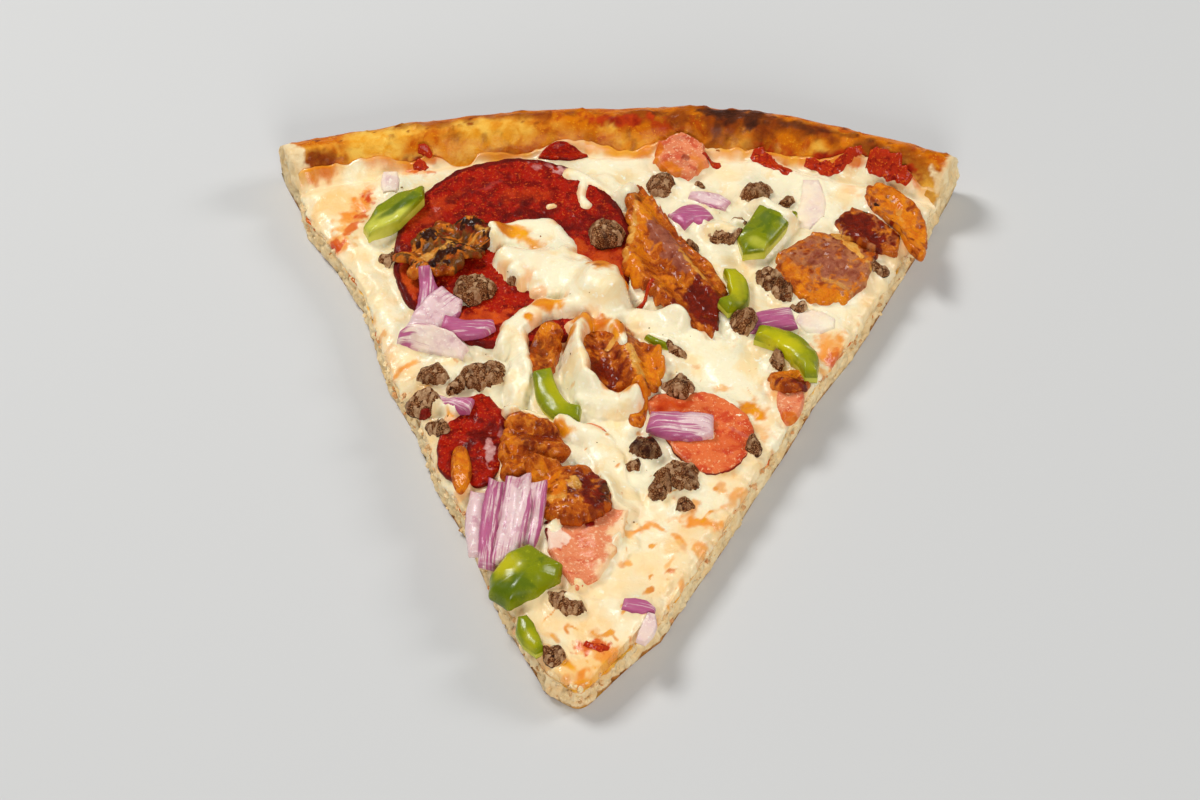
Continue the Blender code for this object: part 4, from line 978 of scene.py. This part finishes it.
pepper("pepper_far_left", (-48, 43.5), disc(sharp(
    [(-5, -6.8), (1.5, -3.6), (6.3, 3.2), (6, 7), (0.5, 6), (-4, 2), (-6.4, -4)]), 110, 24, 0),
    3.6, 0.75, 1)
pepper("pepper_back", (33.5, 42.5), disc(sharp(
    [(-5.2, -8), (-0.6, -7.2), (3.2, -1), (6.4, 4.6), (-1.2, 8), (-4, 2.6), (-6.5, -3)]), 110, 24, 0),
    3.6, 0.8, 2)
pepper("pepper_near", (-13.5, -57), disc(sharp(
    [(-7.4, 0.5), (-7.4, -3.5), (-3.5, -6.4), (2, -4.4), (6.5, 0), (7, 3.6), (0, 8), (-4.5, 5.5)], 0.3),
    120, 28, 0), 2.6, 0.5, 3, 2.4, 0.2)
pepper("pepper_behind_bacon", (26, 23), strip(
    [(-1.8, -6), (1.6, -2), (1.2, 3), (-0.6, 6.2)], [3, 4.4, 4.4, 3], 50, 19), 2.8, 0.6, 4)
pepper("pepper_right", (36.8, 5.5), strip(
    [(-5.5, 5.5), (0.5, 4), (4.8, -0.5), (6.2, -6.6)], [3.4, 6, 6.2, 2.6], 70, 23), 3, 0.6, 5, 1.4)
pepper("pepper_middle", (-10.2, -8), strip(
    [(-3.2, 6.4), (-1.4, 0), (1.6, -4), (5.4, -4.4)], [4, 5, 5, 3], 60, 19), 2.8, 0.6, 6)
pepper("pepper_at_tip", (-11.6, -70.5), strip(
    [(-2.4, 4), (-1, 0), (1.6, -4.2)], [2, 4, 4, 2], 34, 13), 2.4, 0.6, 7)
pepper("pepper_sliver", (10.5, 9), strip(
    [(-2.6, 1.6), (0, 0.6), (2.6, -1.6)], [1, 3, 3, 1], 24, 9), 1.4, 0.6, 8)

# Minced beef: crumbs of fried mince, craggy and dry on top, each a knot of smaller grains.

MINCED_BEEF = food(
    "minced_beef", ((108, 56, 24), (60, 30, 12), (192, 138, 90)), 0.9, 0.3, 0.47, 0.5,
    (0.3, 0.6), 0.35, coat=0.05, areas=(
        ("tone", (214, 174, 132), (160, 112, 72), 0.4, 0.9),
        # Painted shade: dark between the grains and on the crumbs' sides.
        ("painted_shade_in_hollows_and_sides", (44, 22, 10), (66, 36, 18), 0.3, 0.8),
        ("dark", (74, 34, 20), (46, 20, 12), 0.2, 0.9),
        ("red", (150, 22, 16), (110, 14, 12), 0.3, 0.9)))


def grains(xy, size, seed):
    """Pebbled noise, from a round grain at one uneven point of each square: height, and the grain's tone."""
    spot = xy / size
    cell = np.floor(spot).astype(np.int64)
    near, tone = np.full(len(xy), np.inf), np.zeros(len(xy))
    for step in np.ndindex(3, 3):
        corner = cell + step - 1
        key = corner @ PRIMES[:2] + 7919 * seed
        key = (key ^ (key >> 13)) * 1274126177
        key = key ^ (key >> 16)
        jitter = np.column_stack([key & 0xFF, (key >> 8) & 0xFF]) / 255
        far = np.linalg.norm(corner + jitter - spot, axis=1)
        tone = np.where(far < near, ((key >> 16) & 0xFF) / 255, tone)
        near = np.minimum(far, near)
    return np.sqrt(np.clip(1 - near**2, 0, 1)), tone


GRAIN = 0.9 * MM
CLUMP = 2.3 * MM
BODY_SHARE = 0.42
ARCH_SHARE = 0.34
REDDENED_BEEF = [(9.4, -18.2, 3, 1.8, 0, 1), (-37, -13.5, 1.6, 1, 30, 0.8)]


def lumpy_outline(width, length, heading, seed):
    """An uneven round of nine points."""
    turn = np.linspace(0, 2 * np.pi, 9, endpoint=False)
    bumps = 1 + 0.22 * rough(np.column_stack([np.cos(turn), np.sin(turn)]), 0.7, seed, 2)
    shape = np.column_stack([0.5 * width * np.cos(turn), 0.5 * length * np.sin(turn)]) * bumps[:, None]
    c, s = np.cos(np.radians(heading)), np.sin(np.radians(heading))
    return shape @ np.array([[c, s], [-s, c]])


def beef(name, at, width, length, height, heading, seed):
    """A crumb of mince: clumps, grains and finer grains, as domes over a low arch."""
    spokes, rings = int(30 + 8 * (width + length)), int(8 + 2 * (width + length))
    plan = disc(lumpy_outline(width, length, heading, seed), spokes, rings, 0.12, seed)

    def mince_relief(xy):
        clump, _ = grains(xy, CLUMP, seed + 90)
        dome, tone = grains(xy, GRAIN, seed)
        fine, _ = grains(xy, 0.5 * GRAIN, seed + 50)
        knots = 1.1 * clump + 0.5 * dome - 1.3 + 0.4 * tone + 0.25 * fine + 0.5 * rough(xy, 2.2 * MM, seed, 2)
        return knots * eased(plan.depth, 0.0, 0.25)

    piece, points, where = lay("beef_" + name, "crumb", "beef", MINCED_BEEF, at, plan, BODY_SHARE * height,
                               0.05, mince_relief, arch=ARCH_SHARE * height, rounded=0.5, seed=seed,
                               bulge=0.1)
    xy = points[:, :2]
    clump, _ = grains(xy, CLUMP, seed + 90)
    dome, tone = grains(xy, GRAIN, seed)
    paint(piece, "tone", tone * (dome > 0.6))
    # Painted shade, darker where the grains dip and on the crumbs' sides.
    paint(piece, "painted_shade_in_hollows_and_sides", np.maximum(1.1 - 1.2 * np.minimum(dome, clump + 0.15), 0.7 * (where == 1)))
    paint(piece, "dark", 0.5 * (name == "dark") + 0.6 * eased(rough(xy, 2.5 * MM, seed + 7), 0.2, 0.9))
    paint(piece, "red", marks(xy, REDDENED_BEEF, 1))


beef("by_onion", (-28.8, 21.5), 9.4, 8.6, 4.2, 20, 1)
beef("ball", (-1.4, 39.2), 7.8, 6.6, 4.6, 0, 2)
beef("back", (9.8, 56.4), 6.6, 6.6, 3.6, 60, 3)
beef("far", (30.9, 55), 7.2, 5.8, 4, 10, 4)
beef("veil", (23.5, 42), 9.8, 6.6, 3.2, -30, 5)
beef("behind_bacon", (28.6, 14.6), 6.4, 6.6, 4, 40, 6)
beef("middle", (15.4, -4), 7.2, 6, 4.2, 0, 7)
beef("left_large", (-26.2, -1.8), 11.4, 7.4, 4.4, 15, 8)
beef("left_round", (-36.1, -2.4), 6.6, 5.2, 4, 0, 9)
beef("left_edge", (-37.6, -10.4), 5.8, 7, 3.6, 80, 10)
beef("dark", (9.4, -21.2), 6.4, 7.4, 4.6, 70, 11)
beef("near_right", (15.6, -28.4), 9.4, 8, 4.6, -20, 12)
beef("near", (-5.6, -62), 9, 4.8, 3.2, -15, 13)
beef("right", (33.6, 28.6), 5.4, 7.6, 3.6, 30, 14)
SMALL_BEEF = (
    ("rim", -49, 31.5, 4.2, 3.6, 2.4), ("beyond", 37.5, 52, 4.2, 3.2, 2.4),
    ("low_left", -34, -17.5, 3.6, 6.6, 2.4), ("tip", -7, -75, 4.6, 4.6, 2.4),
    ("low_right", 17.5, -35.5, 3.8, 4.2, 2.2), ("pepper", 35.8, 4.4, 4.6, 2.8, 2),
    ("bacon", 14.8, 7, 5.3, 2.6, 1.6), ("edge", 31.4, -19.2, 3.5, 4.3, 1.6),
    ("rasher", 37, 24.4, 4.6, 4, 2.2), ("rasher_low", 40.5, 20.6, 4, 3, 1.8),
    ("corner", 58, 33, 3.4, 4, 1.6), ("dark_side", 6.4, -25.6, 3, 3.8, 2.2),
    ("veil_low", 17.5, 38, 4, 2.6, 1.6), ("veil_high", 27, 46, 3.6, 2.6, 1.6),
    ("salami", 18.5, 57.5, 2.4, 2, 1.4), ("onion", -20.5, 25, 3.4, 3, 2),
    ("between", -31.5, -5.5, 4.5, 3.5, 2.2), ("trail", 12.2, -31.8, 5.6, 4.8, 2.6),
    ("far_low", 33.5, 51.5, 3.6, 3, 2))
for seed, (name, x, y, width, length, height) in enumerate(SMALL_BEEF):
    beef("bit_" + name, (x, y), width, length, height, 25 * seed, 20 + seed)

# Smears of sauce: thick, dark tomato paste that has crept out at the foot of the rim, and bits of tomato. It
# lies on the bed of cheese.

TOMATO_PASTE = food(
    "tomato_paste", ((182, 44, 10), (132, 16, 6), (224, 104, 28)), 1.8, 0.6, 0.5, 0.56,
    (0.25, 0.5), 0.3, coat=0.2, soft=0.03)


def paste_relief(xy):
    """Pulp and seeds."""
    return 0.2 * rough(xy, 1.8 * MM, 24, 2)


def smear(name, path, widths, thickness=0.5):
    """A low ragged strip of paste."""
    middle = np.mean(path, axis=0)
    plan = strip(np.asarray(path) - middle, widths, 60, 15, len(name), 0.45)
    lay("sauce_" + name, "smear", "sauce", TOMATO_PASTE, middle, plan, thickness, 0.15, paste_relief,
        arch=0.25, rounded=0.6, bulge=0.05)


smear("foot", [(29.9, 68.6), (32, 67.2), (34, 65.6), (36.3, 64), (38.4, 62.4)], [1.6, 3, 3.6, 3.4, 2])
smear("foot_right", [(41.7, 66), (43.9, 65.2), (46.8, 64), (49.4, 64.6), (51.5, 65.5), (54.1, 65.9)],
      [1.2, 1.8, 2.4, 1.8, 1.8, 1])
smear("corner", [(55.5, 64.5), (60.4, 62.4), (64.6, 59.4)], [3, 5, 4.2, 2.4], 1)
smear("tip", [(-1.4, -71.2), (1, -72.2), (3.4, -72.4)], [1, 2, 1], 0.3)
smear("web", [(6, 19.4), (7.4, 21.6), (9.2, 24.6)], [1, 1.2, 0.6])
smear("bit_rim", [(-45.4, 61.8), (-43.8, 62.1), (-42.2, 61.4)], [1.6, 3.2, 1.8], 0.9)
smear("bit_rim_high", [(-44.4, 64.8), (-42.9, 64.8), (-41.4, 64.2)], [1.2, 1.8, 1], 0.9)
smear("ham", [(19, 66), (21.5, 64.5), (23, 65)], [1, 2, 1])

# Cheese: grated mozzarella melted to one sheet, which banks up against the toppings and runs over some of
# them in strings and pools. It browns in spots and takes up orange oil from the meat. It replaces its solid.

CHEESE_INSET = 0.3 * MM
BANK = 1.7 * MM
UNDER_TOPPINGS = 0.4 * MM
STRAND_SINK = 0.45
EDGE_ROUND = 1.5 * MM
CUT_STAIN = 9 * MM
STRANDS = (
    ([(-23, 31), (-14, 28), (-6, 25), (1, 17)], [6, 14, 16, 9], 4),
    ([(-26, 38), (-20, 41), (-14, 40.5), (-10, 35)], [3, 5, 6.5, 5], 1.5),
    ([(-25, 35.5), (-19, 36.5), (-13, 34), (-8, 28)], [4, 7.5, 10, 8], 1.9),
    ([(-10, 57.5), (-3, 57), (1.5, 53.5), (2.5, 50)], [4, 7.5, 7, 3], 1.4),
    ([(-7, 57), (-7.5, 51), (-6.6, 48.5)], [3, 2.4, 3], 1.2),
    ([(-14.4, 47.4), (-13.2, 47.8)], [1.8, 1.6], 1),
    ([(-22, 5), (-17, 14.5), (-8, 17.5), (2, 16.5), (14, 14)], [4, 6, 5.5, 6, 6], 3.2),
    ([(-20, 11), (-18.2, 0), (-19, -13)], [5, 5.2, 4.6], 2.5),
    ([(-5, 13), (-6.8, 4), (-5, -5), (1, -8.6), (6, -9)], [3.6, 4.6, 6.2, 6.4, 4], 3.8),
    ([(-7.5, 12.5), (-3, 13), (1.5, 10.5), (3.5, 5.5)], [3.5, 4.4, 4, 2.4], 1.3),
    ([(-9, -15), (-1, -19), (2, -27), (6, -36)], [3, 7, 6, 6], 1.3),
    ([(-16, -14), (-12, -15.5)], [2.5, 2], 1),
    ([(20, 8), (26, 2), (27, -6)], [6, 10, 5], 0.8),
    ([(2, 16), (10, 13), (18, 10)], [5, 7, 6], 1.2),
    ([(30, 51), (38, 46)], [3, 4], 0.7))
MELTED_CHEESE = food(
    "melted_cheese", ((247, 236, 200), (246, 220, 166), (253, 247, 224)), 9, 1.6, 0.48, 0.58,
    (0.22, 0.42), 0.2, coat=0.12, soft=0.16, shine=0.3, areas=(
        ("warm", (248, 200, 128), (250, 222, 170), 0, 1),
        ("oil", (238, 142, 44), (244, 178, 92), 0.1, 1),
        ("sauce", (206, 62, 14), (228, 118, 36), 0.2, 0.9),
        ("baked", (238, 168, 54), (224, 128, 24), 0.1, 1),
        ("browned", (242, 164, 20), (214, 112, 10), 0.1, 0.9),
        ("toasted", (146, 70, 12), (186, 92, 14), 0.2, 1)))
WARM = [
    (-62, 50, 9, 14, 30, 0.8), (-52, 20, 5, 22, 22, 0.7), (-38, -15, 4, 24, 24, 0.8),
    (30, -22, 12, 9, 40, 0.7), (15, -46, 10, 12, -30, 0.7), (2, -66, 12, 12, 0, 0.8),
    (52, 15, 6, 20, -25, 0.8), (36, -8, 5, 14, -25, 0.7), (-2, -78, 10, 6, 0, 1),
    (66, 50, 4, 12, -10, 0.5), (20, 63, 14, 2.5, 0, 0.4), (-30, 64, 22, 2.5, 8, 0.6)]
OILED = [
    (-57.8, 44.8, 2.4, 9, -24, 1), (-59.5, 38, 2.6, 3.5, -20, 1), (-54, 54, 2, 2.4, 20, 0.6),
    (-45, 60.5, 3, 2, -10, 0.6), (-10, 69.5, 7, 1.5, 2, 0.6), (47, 9, 3.2, 5, -20, 0.9),
    (36, -3, 4, 1.6, -40, 0.6), (7.9, -42, 3.6, 0.8, 40, 0.9), (12, -40.6, 4, 0.6, -35, 0.9),
    (16, -43.6, 3.4, 0.6, -40, 0.9), (20.4, -39.2, 4.6, 1.2, 0, 1), (19.6, -35.2, 0.9, 3.2, -20, 0.8),
    (28.6, -30.6, 2.4, 1.2, 30, 0.8), (2.5, -73.5, 4, 2.4, -10, 1), (10, -72, 4, 0.8, 20, 0.7),
    (26, -24, 3, 2, 30, 0.6), (20.2, -45.8, 1.5, 1.9, 0, 1), (15.2, -49.4, 0.6, 2.8, -30, 0.7),
    (25.6, -34.4, 2.8, 0.8, 40, 0.7), (17.4, -55, 0.6, 1.4, 0, 0.8), (6.6, -50.6, 0.9, 0.9, 0, 1),
    (-1.9, -79.5, 0.7, 2.4, -30, 0.9), (4, -78, 3, 1.2, 30, 0.6), (30, 34, 2, 3, 0, 0.4),
    (33, -14, 2, 3, 20, 0.6), (46, 12, 2, 3, 0, 0.7), (52, 58, 3, 1.6, -40, 0.5), (-46, 5, 2, 4, 20, 0.5),
    (-42, 1.5, 3.4, 0.8, 40, 0.9), (-2, -80, 5, 1.5, 0, 0.6)]
SAUCED = [
    (-60.6, 37.8, 1.4, 2.4, -20, 1), (-57.4, 42, 1, 5, -28, 1), (-54.8, 51.4, 1.4, 2.4, 20, 0.9),
    (-55.8, 46.5, 1, 3, -30, 0.7), (0, -72, 3.2, 1.6, 0, 0.9), (47.8, 8.5, 0.9, 3, -20, 0.7),
    (-44.5, 61.5, 1.6, 2, 0, 1), (-42, 60, 1.4, 1, 0, 0.7)]
BROWNED_CHEESE = [
    (-22, 38.5, 5, 2.2, -12, 1), (-18, 36, 3.5, 1.5, -40, 0.8), (-2, 26.5, 2.6, 2.6, 0, 0.9),
    (-13, 16.5, 3, 1.7, 10, 1), (-17, 12.5, 1.1, 0.9, 0, 1), (-15.5, 9.5, 2, 1, 30, 0.6),
    (-4, 12.5, 4.5, 1.8, -14, 1), (2.5, 9, 1.8, 4, -20, 1), (-8, 8, 1.4, 3.2, 0, 0.8),
    (4.6, -5.6, 2.6, 2.4, 0, 1), (0.2, -6.4, 1.2, 1, 0, 0.7), (30.5, -8.2, 3, 2.8, 20, 1),
    (24.5, -2.8, 1.8, 1.1, 0, 0.6), (-8.5, -16.5, 2.4, 1.4, -20, 0.9), (-66, 59, 4.5, 2.6, 25, 0.9),
    (5, -51, 1, 1, 0, 0.6), (-5, -67, 1, 1.4, 0, 0.4), (17.5, -46, 1, 2, 30, 0.5),
    (24.5, -30, 1.2, 1.6, 0, 0.6), (-4, -77, 2.4, 1, -30, 0.8), (3, -76, 2.8, 1, 30, 0.7),
    (8, -71, 2, 0.8, 50, 0.6), (-8, -69.5, 1.6, 0.9, 0, 0.4), (0.5, -68.5, 1.2, 1.6, 0, 0.5),
    (-1, -80, 2.5, 0.8, 0, 0.8), (8, -37.5, 1.6, 1.2, 0, 0.3), (-51, 3.5, 1.6, 1.4, 0, 0.4)]
TOASTED_CHEESE = [
    (-4.5, 13.2, 2, 0.7, -14, 0.8), (-67, 60.3, 3, 0.7, 30, 0.8), (-2.4, 25.4, 1.4, 0.9, 0, 0.8),
    (-23.5, 39.6, 1.6, 0.7, 0, 0.6), (3.2, 8.4, 0.7, 1.6, 0, 0.6)]


def from_line(xy, knots, widths):
    """Distance from a curve, in half-widths of the strand there: the least over its short pieces."""
    line = curve_through(knots, 40, closed=False)
    half = 0.5 * np.interp(np.linspace(0, 1, 40), np.linspace(0, 1, len(widths)), widths)
    near = np.full(len(xy), np.inf)
    for spot, reach in zip(line, half):
        near = np.minimum(near, np.hypot(*(xy / MM - spot).T) / reach)
    return near


VEILED = [
    (23, 44, 5, 2.5, 20, 1), (6.5, -45, 2.2, 8, -12, 1), (-3, -58, 3, 1.6, 20, 0.8), (30, -9, 3, 2, 30, 1),
    (-33, -14, 2, 3, 0, 0.8), (13.5, 50.5, 2.5, 1.2, 30, 0.8), (-2, -61, 3, 1.2, 0, 0.8),
    (15, 0, 3, 1.5, 0, 0.7), (24, 10, 2, 2, 0, 0.8), (-9, -44, 2, 1.5, 30, 0.6), (38, 45, 1.5, 3, 20, 0.7)]


def melt():
    """Heights of the cheese over every square, and how much of a strand lies there.

    Its bed banks against the toppings but stays under them, save where a veil or a strand goes over.
    """
    covered = ground.height > ground.bed + 0.1 * MM
    banked = ground.bed + BANK * smoothed(covered.astype(float), 12)
    height = np.where(covered, np.minimum(banked, ground.height - UNDER_TOPPINGS), banked)
    veil = marks(ground.xy, VEILED, 52, 0.6, 2.4, 0.5).reshape(GROUND_CELLS)
    veiled = smoothed(ground.height, 3) + (1.2 * veil - 0.4) * MM
    height = np.where(veil > 0.2, np.maximum(height, veiled), height)
    carried = smoothed(widened(ground.height, 4), 26)
    wobble = 0.22 * rough(ground.xy, 3.0 * MM, 40, 2)
    strung = np.zeros(GROUND_CELLS)
    for knots, widths, thickness in STRANDS:
        near = from_line(ground.xy, knots, widths) + wobble
        profile = np.sqrt(np.clip(1 - near**2, 0, 1)).reshape(GROUND_CELLS)
        strand = carried + (thickness * profile - STRAND_SINK) * MM
        height = np.where(profile > 0, np.maximum(height, strand), height)
        strung = np.maximum(strung, profile)
    return smoothed(height, 1), strung


def cheese():
    """The sheet, rounded at its cut edges, and the stains on it. Gives the map of the highest surface."""
    rows, columns = 330, 250
    across = np.linspace(-1, 1, columns)
    heading = across * HALF_ANGLE
    rim = rim_radius(heading)
    on_rim = PIE_CENTRE + rim[:, None] * np.column_stack([np.sin(heading), np.cos(heading)])
    outer = rim - past_cheese(on_rim) * MM
    plan = grid_plan(wedge(np.linspace(0, 1, rows)[:, None], across, outer, CHEESE_INSET))
    xy = plan.xy
    radius = np.linalg.norm(xy - PIE_CENTRE, axis=1)
    half_wide = radius * HALF_ANGLE
    to_cut = (1 - np.abs(np.tile(across, rows))) * half_wide
    to_tip = radius - radius.min()
    from_edge = np.minimum(to_cut, to_tip) / MM + 0.9 * rough(xy, 3.0 * MM, 47)
    rounding = 1 - eased(from_edge, -1.0, 2.8)
    height, strung = melt()
    top = ground.at(xy, height) - EDGE_ROUND * rounding
    under = np.full(len(xy), DOUGH_THICKNESS - 0.1 * MM)

    def drips(ring, share):
        lumps = 0.3 + 0.45 * rough(ring, 3.5 * MM, 42) + 0.3 * rough(ring, 1.0 * MM, 43)
        return MM * lumps * np.sin(np.pi * share)

    top = np.maximum(top, under + 0.2 * MM)
    piece, points, _ = body("melted_cheese", plan, under, top, MELTED_CHEESE, 7, drips)
    spot = points[:, :2]
    edge = np.ones(len(points))
    edge[:len(xy)] = np.clip(1 - to_cut / CUT_STAIN, 0, 1)
    tip = eased(-spot[:, 1] / MM, 15, 75)
    warm = np.maximum(marks(spot, WARM, 1, 0.6, 4, 0.7), 0.6 * edge + 0.5 * tip)
    warm = warm * (0.8 + 0.5 * rough(spot, 5 * MM, 44)) + 0.3 * eased(rough(spot, 9 * MM, 59), 0.0, 1.0)
    paint(piece, "warm", np.clip(warm, 0, 1))
    past = past_cheese(spot)
    at_rim = eased(past + 2.2 * rough(spot, 5 * MM, 48), -3.2, 1.5)
    at_cut = 0.6 * edge**4 * eased(rough(spot, 2.0 * MM, 49) + 0.6 * tip, 0.2, 1.0)
    paint(piece, "baked", np.maximum(at_rim, at_cut))
    greasy = ground.at(spot, smoothed(ground.grease, 8) * (1 - 0.8 * smoothed(strung, 4)))
    stain = 1.3 * greasy * eased(rough(spot, 2.5 * MM, 45), -0.5, 0.6)
    paint(piece, "oil", np.maximum(np.clip(stain, 0, 0.6), marks(spot, OILED, 2, 0.7, 1.4, 0.7)))
    seeped = eased(past + 0.8 * rough(spot, 1.6 * MM, 54), -1.8, -0.4) * marks(spot, SEEPS, 55, 0.6, 2.0, 0.6)
    paint(piece, "sauce", np.maximum(marks(spot, SAUCED, 3, 0.8, 1.2, 0.6), seeped))
    spots = eased(rough(spot, 2.4 * MM, 46), 0.62, 1.0) + eased(rough(spot, 1.2 * MM, 58, 2), 0.9, 1.2)
    lines = eased(-np.abs(rough(spot, 9 * MM, 61)), -0.07, -0.01) * eased(rough(spot, 6 * MM, 62), 0.05, 0.5)
    to_front = -spot[:, 1] / MM + 0.5 * np.abs(spot[:, 0]) / MM
    freckles = 0.75 * np.maximum(spots, lines) * eased(to_front, -25, 30)
    paint(piece, "browned", np.maximum(marks(spot, BROWNED_CHEESE, 4, 0.45, 1.6, 0.6), freckles))
    paint(piece, "toasted", marks(spot, TOASTED_CHEESE, 5, 0.5, 1.2, 0.6))
    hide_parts("cheese")
    return np.maximum(ground.height, height)


surface = cheese()

# Crumbs and flecks: torn crumb of the dough that hangs at the cuts and the tip, and specks of pepper, herbs
# and burnt flour that lie on the cheese.

CRUMBS = 320
CRUMBS_TO_ONE_AT_TIP = 8
CRUMB_HEIGHTS = np.array([1.0, 7.6]) * MM
FLECKS = 150
LAST_RADIUS = np.array([163.0, 162.0]) * MM
RNG = np.random.default_rng(11)


def lump():
    """Points and faces of a ball of 42 points."""
    ball = bpy.data.meshes.new("lump")
    shape = bmesh.new()
    bmesh.ops.create_icosphere(shape, subdivisions=2, radius=1.0)
    shape.to_mesh(ball)
    shape.free()
    points = np.zeros(3 * len(ball.vertices))
    ball.vertices.foreach_get("co", points)
    faces = np.array([face.vertices for face in ball.polygons])
    bpy.data.meshes.remove(ball)
    return points.reshape(-1, 3), faces


def scattered(name, finish, places, sizes, flat):
    """One uneven lump at each place: a ball with noise on it, turned about, and flattened by its share."""
    points, faces = lump()
    stretch = sizes[:, None] * RNG.uniform(0.6, 1.5, (len(places), 3)) * np.array([1, 1, flat])
    turn = RNG.uniform(0, 2 * np.pi, len(places))
    local = points[None] * stretch[:, None]
    local = local * (1 + 0.35 * RNG.uniform(-1, 1, (len(places), len(points), 1)))
    x = local[..., 0] * np.cos(turn)[:, None] - local[..., 1] * np.sin(turn)[:, None]
    y = local[..., 0] * np.sin(turn)[:, None] + local[..., 1] * np.cos(turn)[:, None]
    spots = np.stack([x, y, local[..., 2]], axis=-1) + places[:, None]
    ends = faces[None] + len(points) * np.arange(len(places))[:, None, None]
    mesh = bpy.data.meshes.new(name)
    mesh.from_pydata(spots.reshape(-1, 3).tolist(), [], ends.reshape(-1, 3).tolist())
    mesh.update()
    mesh.materials.append(finish)
    piece = placed(name, mesh)
    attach(piece, "root")
    return piece, len(points)


def crumbs():
    """Crumbs down both cuts and round the tip."""
    side = np.where(RNG.random(CRUMBS) < 0.5, -1.0, 1.0)
    share = RNG.random(CRUMBS)
    near_tip = np.arange(CRUMBS) % CRUMBS_TO_ONE_AT_TIP == 0
    side = np.where(near_tip, RNG.uniform(-1, 1, CRUMBS), side)
    share = np.where(near_tip, 0.0, share)
    xy = wedge(share, side, np.full(CRUMBS, LAST_RADIUS[0]), 0.0)
    height = RNG.uniform(*CRUMB_HEIGHTS, CRUMBS)
    sizes = RNG.uniform(0.25, 0.75, CRUMBS) ** 1.5 * MM
    piece, each = scattered("torn_crumbs", BAKED_DOUGH, np.column_stack([xy, height]), sizes, 0.8)
    paint(piece, "crumb", np.repeat(RNG.uniform(0.4, 1.2, CRUMBS), each))
    paint(piece, "toast", np.repeat(RNG.uniform(-0.6, 0.8, CRUMBS), each))


FLECK = food("flecks", ((150, 96, 44), (98, 60, 28), (130, 116, 50)), 2.0, 0.5, 0.5, 0.5,
             (0.4, 0.7), 0.1)


def flecks():
    """Flecks on the cheese, where no topping lies."""
    share = RNG.random(FLECKS) ** 0.7
    xy = wedge(share, RNG.uniform(-0.94, 0.94, FLECKS), np.full(FLECKS, LAST_RADIUS[1]), 0.0)
    height = ground.at(xy, surface)
    bare = height > ground.at(xy) + 0.1 * MM
    places = np.column_stack([xy, height])[bare]
    scattered("flecks_of_herb", FLECK, places, RNG.uniform(0.08, 0.24, len(places)) * MM, 0.4)


crumbs()
flecks()

# Table: a plain pale floor that the slice lies on, with soft studio light round it and the camera where the
# photograph was taken from.

FLOOR_HALF = 3.0
floor_mesh = bpy.data.meshes.new("floor")
corners = [(x * FLOOR_HALF, y * FLOOR_HALF, 0.0) for x, y in ((-1, -1), (1, -1), (1, 1), (-1, 1))]
floor_mesh.from_pydata(corners, [], [(0, 1, 2, 3)])
floor = placed("floor", floor_mesh)
paper = bpy.data.materials.new("pale_paper")
paper.use_nodes = True
paper_shader = paper.node_tree.nodes["Principled BSDF"]
paper_shader.inputs["Base Color"].default_value = (0.6, 0.6, 0.59, 1)
paper_shader.inputs["Roughness"].default_value = 0.85
floor_mesh.materials.append(paper)


def softbox(name, size, power, place):
    """A square lamp that faces the slice."""
    lamp = bpy.data.lights.new(name, "AREA")
    lamp.size = size
    lamp.energy = power
    shown = placed(name, lamp)
    shown.location = place
    shown.rotation_euler = Vector(place).to_track_quat("Z", "Y").to_euler()


softbox("key", 0.3, 5.9, (-0.45, 0.35, 0.75))
softbox("side", 0.3, 2.6, (0.7, 0.25, 0.55))
softbox("front", 0.4, 4.8, (0.1, -0.9, 0.45))
world = bpy.data.worlds.new("studio")
bpy.context.scene.world = world
world.use_nodes = True
world.node_tree.nodes["Background"].inputs["Color"].default_value = (1, 1, 1, 1)
world.node_tree.nodes["Background"].inputs["Strength"].default_value = 0.2
bpy.context.scene.view_settings.view_transform = "Standard"

CAMERA_TURN = np.radians(2.33)
CAMERA_RISE = np.radians(48.0)
CAMERA_AWAY = 0.75
CAMERA_AIM = Vector((-0.0011, -0.0041, 0.006))
LENS = 107.0
back = Vector((np.sin(CAMERA_TURN) * np.cos(CAMERA_RISE), -np.cos(CAMERA_TURN) * np.cos(CAMERA_RISE),
               np.sin(CAMERA_RISE)))
lens = bpy.data.cameras.new("camera")
lens.lens = LENS
lens.sensor_width = 36.0
camera = placed("camera", lens)
facing = back.to_track_quat("Z", "Y").to_matrix().to_4x4()
camera.matrix_world = Matrix.Translation(CAMERA_AIM + back * CAMERA_AWAY) @ facing
bpy.context.scene.camera = camera
